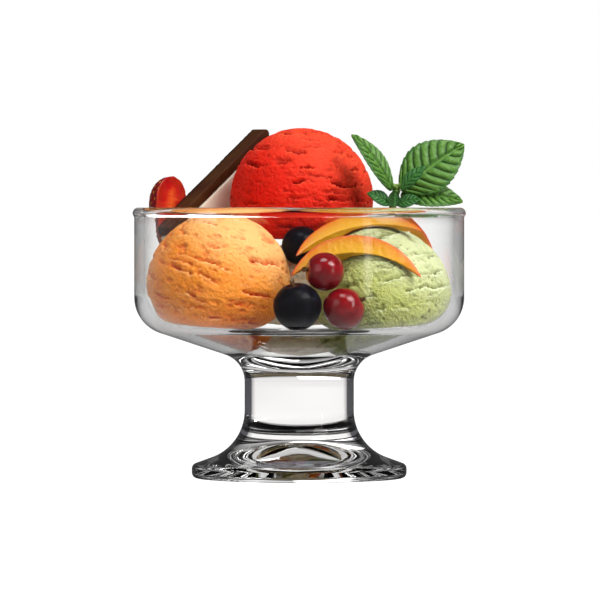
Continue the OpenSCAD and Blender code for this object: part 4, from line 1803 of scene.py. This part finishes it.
@dataclass
class MintSprig:
    """The sprig: square stalk, buds and leaves. Sizes in millimetres and degrees."""

    foot: Point = (28.2204, 0.723923, 79.5301)
    top: Point = (31.0086, 0.723923, 91.607)
    stalk_d: float = 2.6
    buds: int = 9
    bud_size: Point = (0.6, 0.6, 1.1)
    bud_ring: float = 0.9
    bud_lean: float = 0.5

    def build(
        self, effects: Effects, blade: LeafFinish, young: LeafFinish, stem: LeafFinish
    ) -> list[Piece]:
        """Builds the whole sprig.

        Args:
            effects: The shared shader groups.
            blade: Finish of the grown leaves.
            young: Finish of the young leaf and of the sprouts under it.
            stem: Finish of the stalk and buds.

        Returns:
            The pieces.
        """
        r = self.stalk_d / 2
        leaves = (
            MintLeaf("mint_blade_large", "mint_leaf_large", 25.0, 17.0, 4, 36, 72, (r, r, 0.0), 71),
            MintLeaf("mint_blade_left", "mint_leaf_left", 22.0, 9.0, 190, 54, -48, (-r, -r / 2, 0.0), 72),
            MintLeaf("mint_blade_low", "mint_leaf_low", 20.0, 11.0, -5, -6, 45, (r, 2 * r, -r), 73),
        )
        new_leaves = (
            MintLeaf(
                "mint_blade_young", "mint_leaf_young", 11.0, 5.0, -14, 44, 64, (r, -2 * r, 0.0), 74,
                5, 7, 0.3,
            ),
            MintLeaf("mint_sprout_left", "", 8.5, 5.5, 195, 25, -55, (-1.8, -0.6, -4.4), 76, 5, 7, 0.35),
            MintLeaf("mint_sprout_right", "", 8.0, 5.0, -12, 12, 55, (-0.2, -0.9, -4.4), 77, 5, 7, 0.35),
            MintLeaf("mint_sprout_front", "", 6.0, 3.8, -80, 72, 0, (-1.0, -1.2, -5.6), 78, 5, 7, 0.3),
        )
        made = [leaf.build(effects, blade, self.top) for leaf in leaves]
        made += [leaf.build(effects, young, self.top) for leaf in new_leaves]
        return made + [self._stalk(effects, stem), self._buds(effects, stem)]

    def _stalk(self, effects: Effects, finish: LeafFinish) -> Piece:
        """Builds the square stalk, hollowed along its sides.

        Args:
            effects: The shared shader groups.
            finish: Its finish.

        Returns:
            The piece.
        """
        foot, top = np.array(self.foot), np.array(self.top)
        steps, sides = 24, 32
        points = []
        for s in range(steps):
            t = s / (steps - 1)
            middle = foot + (top - foot) * t
            bulge = 1 + 0.16 * ease(0.8, 1.0, np.array(t)) - 0.12 * t
            for q in range(sides):
                a = 2 * math.pi * q / sides
                r = self.stalk_d / 2 * bulge * (0.9 + 0.08 * math.cos(4 * a))
                points.append(middle + np.array([r * math.cos(a), r * math.sin(a), 0.0]))
        piece = mesh_piece("mint_stem", np.array(points), tube_faces(steps, sides))
        # Painted light: the four corners of the square stalk are paler and the hollows between them carry
        # painted shade
        ribs = np.tile(0.5 + 0.5 * np.cos(8 * math.pi * np.arange(sides) / sides), steps)
        note(piece.data, "swell", ribs)
        note(piece.data, "groove", 0.5 * (1 - ribs))
        return finish_piece(piece, "mint_sprig", finish.make(effects), "mint_stalk", "mint_stalk")

    def _buds(self, effects: Effects, finish: LeafFinish) -> Piece:
        """Builds the cluster of unopened leaves where the others meet.

        Args:
            effects: The shared shader groups.
            finish: Its finish.

        Returns:
            The piece.
        """
        unit, corners = ball(3)
        rng = np.random.default_rng(75)
        points: list[np.ndarray] = []
        faces: list[list[int]] = []
        for k in range(self.buds):
            out, lean = (self.bud_ring, self.bud_lean) if k else (0.0, 0.0)
            turn = 2 * math.pi * k / (self.buds - 1)
            size = np.array(self.bud_size) * rng.uniform(0.8, 1.1)
            blob = unit * size * (1 + 0.12 * Grain(80 + k).at(unit * 2.5))[:, None]
            tip = Matrix.Rotation(lean, 3, Vector((-math.sin(turn), math.cos(turn), 0)))
            where = np.array([out * math.cos(turn), out * math.sin(turn), 0.7 + rng.uniform(-0.3, 0.4)])
            faces += [[len(points) * len(unit) + c for c in f] for f in corners]
            points.append(blob @ np.array(tip).T + where + np.array(self.top))
        piece = mesh_piece("mint_buds", np.vstack(points), faces)
        # Painted light: each bud is paler on top and carries painted shade on its underside
        note(piece.data, "swell", np.tile(ease(-1.0, 1.0, unit[:, 2]), self.buds))
        note(piece.data, "groove", np.tile(0.5 * ease(0.2, -1.0, unit[:, 2]), self.buds))
        return finish_piece(piece, "mint_sprig", finish.make(effects), "mint_stalk", "mint_bud")


@dataclass
class Studio:
    """Pale floor, soft lights and the camera. Distances in metres."""

    distance: float = 1.7
    height: float = 0.085
    aim: Point = (0.00025, 0.0, 0.0566)
    frame_width: float = 0.191
    sensor: float = 36.0
    far: float = 200.0
    sky: float = 0.24
    mirrored_sky: float = 0.09
    wall_fade: Pair = (0.22, 0.6)
    caught_after: Pair = (2.0, 4.0)
    caught: Pair = (0.42, 0.12)
    lamp_aim: Point = (0.0, 0.0, 0.07)
    floor_r: float = 90.0
    floor_z: float = -0.0001
    floor_tone: Colour = (0.16, 0.16, 0.16)
    disc_r: float = 0.036
    # Colour of the disc under the foot: a painted dark reflection, seen only inside the glass
    reflected_dark: Colour = (0.006, 0.006, 0.007)
    edges: int = 96

    def build(self) -> None:
        """Builds everything round the object."""
        self._camera()
        self._floor()
        self._sky()
        self._shade()
        self._lamp("key", (0.5, -0.45, 0.7), (0.45, 0.45), 8.0)
        self._lamp("top", (-0.05, -0.25, 0.85), (0.4, 0.3), 2.4)
        self._lamp("strip", (0.55, -0.5, 0.22), (0.07, 0.4), 0.8)
        self._lamp("fill", (-0.6, -0.7, 0.4), (0.6, 0.6), 1.4, False)
        self._lamp("back", (-0.3, 0.9, 0.45), (0.7, 0.5), 3.0, False)

    def _camera(self) -> None:
        """A long lens, low in front of the glass."""
        data = bpy.data.cameras.new("camera")
        camera = linked("camera", data)
        camera.location = (self.aim[0], -self.distance, self.height)
        data.sensor_width = self.sensor
        data.lens = self.sensor * turn_to(camera, self.aim) / self.frame_width
        data.clip_end = self.far
        bpy.context.scene.camera = camera
        bpy.context.scene.view_settings.view_transform = "Standard"

    def _floor(self) -> None:
        """A wide pale floor that glows a little, so that shadows on it stay light."""
        bpy.ops.mesh.primitive_circle_add(
            vertices=self.edges, radius=self.floor_r, fill_type="NGON", location=(0, 0, self.floor_z)
        )
        floor = bpy.context.object
        floor.name = "floor"
        sheet = Sheet("pale_floor")
        glow = sheet.mix(self._seen(sheet), self.floor_tone, WHITE)
        sheet.set(base_color=self.floor_tone, roughness=0.9, specular_ior_level=0.0)
        sheet.set(emission_color=glow, emission_strength=1.0)
        floor.data.materials.append(sheet.material)
        floor.visible_glossy = False

    def _seen(self, wires: Wiring) -> Socket:
        """Tells what is looked at, straight or through glass, from what only lights the object.

        Args:
            wires: The tree that it is built in.

        Returns:
            A socket that is 1 for what is looked at, and less for what is caught inside the glass.
        """
        ray = wires.add("ShaderNodeLightPath").outputs
        caught = wires.span(ray["Transmission Depth"], self.caught_after, self.caught)
        seen = wires.reckon("MAXIMUM", ray["Is Camera Ray"], ray["Is Transmission Ray"])
        for depth, least in (("Diffuse Depth", 0.0), ("Glossy Depth", caught)):
            seen = wires.reckon("MULTIPLY", seen, wires.span(ray[depth], result=(1.0, least)))
        return seen

    def _sky(self) -> None:
        """Soft light from all round, with a white wall low down and a dimmer ceiling."""
        world = bpy.data.worlds.new("studio")
        world.use_nodes = True
        wires = Wiring(world.node_tree)
        round_about = wires.add("ShaderNodeTexCoord").outputs["Generated"]
        height = wires.add("ShaderNodeSeparateXYZ", Vector=round_about).outputs["Z"]
        wall = wires.span(height, self.wall_fade, (1.0, self.sky))
        mirror = wires.add("ShaderNodeLightPath").outputs["Is Glossy Ray"]
        dim = wires.span(mirror, result=(self.sky, self.mirrored_sky))
        level = wires.span(self._seen(wires), result=(dim, wall))
        wires.fill(wires.nodes["Background"], {"Color": WHITE, "Strength": level})
        bpy.context.scene.world = world

    def _shade(self) -> None:
        """A dark disc between foot and floor, seen only by light that has gone round inside the glass,
        where it paints a dark reflection.
        """
        angles = np.linspace(0, 2 * math.pi, self.edges, endpoint=False)
        rows = [(self.disc_r * math.cos(a), self.disc_r * math.sin(a), self.floor_z / 2) for a in angles]
        disc = mesh_piece("foot_shade", np.array(rows) / MM, [range(self.edges)])
        sheet = Sheet("dark_reflection_sheet")
        sheet.set(base_color=self.reflected_dark, roughness=1.0, specular_ior_level=0.0)
        depth = sheet.add("ShaderNodeLightPath").outputs["Glossy Depth"]
        sheet.surface(depth, sheet.add("ShaderNodeBsdfTransparent"), sheet.shader)
        disc.data.materials.append(sheet.material)
        disc.visible_camera = False
        disc.visible_diffuse = False
        disc.visible_shadow = False

    def _lamp(
        self,
        name: str,
        where: Point,
        size: Pair,
        power: float,
        glints: bool = True,
    ) -> None:
        """Adds a soft box that faces the object.

        Args:
            name: Name of the lamp.
            where: Its place.
            size: Its width and height.
            power: Its power in watts.
            glints: Whether shiny things show it.
        """
        data = bpy.data.lights.new(name, "AREA")
        data.shape = "RECTANGLE"
        data.size, data.size_y = size
        data.energy = power
        lamp = linked(name, data)
        lamp.location = where
        turn_to(lamp, self.lamp_aim)
        lamp.visible_camera = False
        lamp.visible_glossy = glints


# Each ice: pale, plain and deep colours and the scattering spread; pale also paints highlights and deep
# paints shade
ORANGE_ICE = IceFinish(
    "orange_ice", srgb(255, 208, 140), srgb(248, 140, 14), srgb(206, 52, 0), (1.0, 0.5, 0.2)
)
GREEN_ICE = IceFinish(
    "green_ice", srgb(202, 207, 170), srgb(168, 173, 90), srgb(94, 96, 12), (0.8, 1.0, 0.4)
)
VANILLA_ICE = IceFinish(
    "vanilla_ice", srgb(250, 240, 214), srgb(242, 226, 188), srgb(206, 170, 112), (1.0, 0.8, 0.5)
)
RED_ICE = IceFinish(
    "red_ice", srgb(244, 84, 52), srgb(224, 25, 13), srgb(132, 2, 5), (1.0, 0.2, 0.1)
)
BLACK_SKIN = BerryFinish("blackcurrant_skin", srgb(4, 3, 5), srgb(12, 8, 14), 0.34, 0.04, 0.07)
RED_SKIN = BerryFinish("redcurrant_skin", srgb(98, 2, 8), srgb(136, 8, 14), 0.1, 0.02, 0.5)
PEACH = CutFruit(
    FruitPart.PEACH, "peach", srgb(216, 162, 26), srgb(208, 142, 14), srgb(208, 98, 10), srgb(200, 52, 10)
)
STRAWBERRY = CutFruit(
    FruitPart.STRAWBERRY, "strawberry", srgb(232, 96, 34), srgb(190, 14, 19), srgb(156, 7, 14),
    srgb(112, 4, 12),
)
MINT_BLADE = LeafFinish("mint_blade", srgb(38, 92, 28), srgb(108, 154, 64), srgb(8, 34, 10))
MINT_YOUNG = LeafFinish("mint_young", srgb(22, 82, 33), srgb(72, 130, 60), srgb(6, 34, 15))
MINT_STEM = LeafFinish("mint_stem", srgb(66, 108, 38), srgb(128, 160, 70), srgb(30, 60, 18))
COCONUT_RIND = NutFinish("coconut_rind", srgb(54, 20, 9), srgb(70, 40, 12), srgb(22, 8, 5), 0.5, 0.12)
COCONUT_MEAT = NutFinish(
    "coconut_meat", srgb(230, 218, 198), srgb(240, 232, 214), srgb(206, 176, 136), 0.45, 0.06
)
DRIED_FLOWER = NutFinish("dried_flower", srgb(70, 44, 28), srgb(38, 24, 16), srgb(96, 66, 40), 0.7, 0.05)
STRAWBERRY_SEED = NutFinish(
    "strawberry_seed", srgb(214, 150, 60), srgb(180, 96, 40), srgb(120, 50, 24), 0.35, 0.03
)


def scoops() -> list[Scoop]:
    """The four scoops, from the bowl's floor up.

    Returns:
        The scoops, ready to build.
    """
    return [
        Scoop("ice_orange", "orange_scoop", "scoop_bed", "orange_ice", (-25.2032, -7.5134, 62.0278), 22.8,
              IceMark.CRACKED, -20.0, 5.6, 1.15, 101, ORANGE_ICE),
        Scoop("ice_green", "green_scoop", "scoop_bed", "green_ice", (25.3811, -7.6147, 57.8941), 22.6,
              IceMark.PITTED, 10.0, 4.8, 0.7, 201, GREEN_ICE, 0.55),
        Scoop("ice_vanilla", "vanilla_scoop", "scoop_bed", "vanilla_ice", (0.0, 28.2995, 54.4874), 20.8,
              IceMark.CRACKED, 8.0, 6.0, 0.8, 301, VANILLA_ICE),
        Scoop("ice_red", "red_scoop", "red_top", "red_ice", (0.7767, 20.4443, 88.5922), 23.4,
              IceMark.FLAKED, -3.0, 5.2, 1.5, 401, RED_ICE),
    ]


def berries() -> list[Berry]:
    """The currants in front and between the scoops.

    Returns:
        The berries, ready to build.
    """
    return [
        Berry("berry_black", "blackcurrant", "black_berry", "blackcurrant_skin",
              (-0.5208, -37.2951, 55.2037), 7.502, (-0.2, -0.3, 0.93), BLACK_SKIN, 501),
        Berry("berry_black_rear", "blackcurrant_rear", "scoop_bed", "blackcurrant_skin",
              (0.7, -5.2801, 73.9), 6.3, (0.0, 0.5, 0.86), BLACK_SKIN, 502, sepals=0),
        Berry("berry_red_low", "currant_low", "redcurrants", "redcurrant_skin",
              (13.7152, -36.0764, 54.5783), 6.4995, (0.9, -0.2, 0.4), RED_SKIN, 503, 1.7),
        Berry("berry_red_top", "currant_top", "redcurrants", "redcurrant_skin",
              (7.8861, -34.9961, 66.0354), 6.1005, (-0.95, -0.2, 0.1), RED_SKIN, 504, 1.7),
    ]


def peaches() -> list[PeachSlice]:
    """The three slices of peach.

    Returns:
        The slices, ready to build.
    """
    rear_turn, rear_out = 28.0, 33.896
    rear = math.radians(rear_turn)
    return [
        PeachSlice("peach_slice_front", "peach_front", "front_peach", (17.2446, -30.2159, 63.3184),
                   (("X", -47.0),), 601),
        PeachSlice("peach_slice_upper", "peach_upper", "upper_peach", (18.6007, -20.4974, 74.167),
                   (("Y", -11.3), ("X", -76.0)), 602),
        PeachSlice("peach_slice_rear", "peach_rear", "rear_peach",
                   (rear_out * math.cos(rear), rear_out * math.sin(rear), 65.5524),
                   (("Z", rear_turn), ("Y", 90.0), ("X", 13.5)), 603),
    ]


def main() -> None:
    """Builds the glass, its serving and the studio, in that order."""
    logging.basicConfig(level=logging.INFO, format="%(message)s")
    effects = Effects()
    PressedGlass().build(ClearGlass())
    for scoop in scoops():
        scoop.build(effects)
    for berry in berries():
        berry.build(effects)
    for peach in peaches():
        peach.build(effects, PEACH)
    StrawberryHalf().build(effects, STRAWBERRY)
    CoconutSlice().build(effects, COCONUT_RIND, COCONUT_MEAT)
    MintSprig().build(effects, MINT_BLADE, MINT_YOUNG, MINT_STEM)
    Studio().build()


if __name__ == "__main__":
    main()
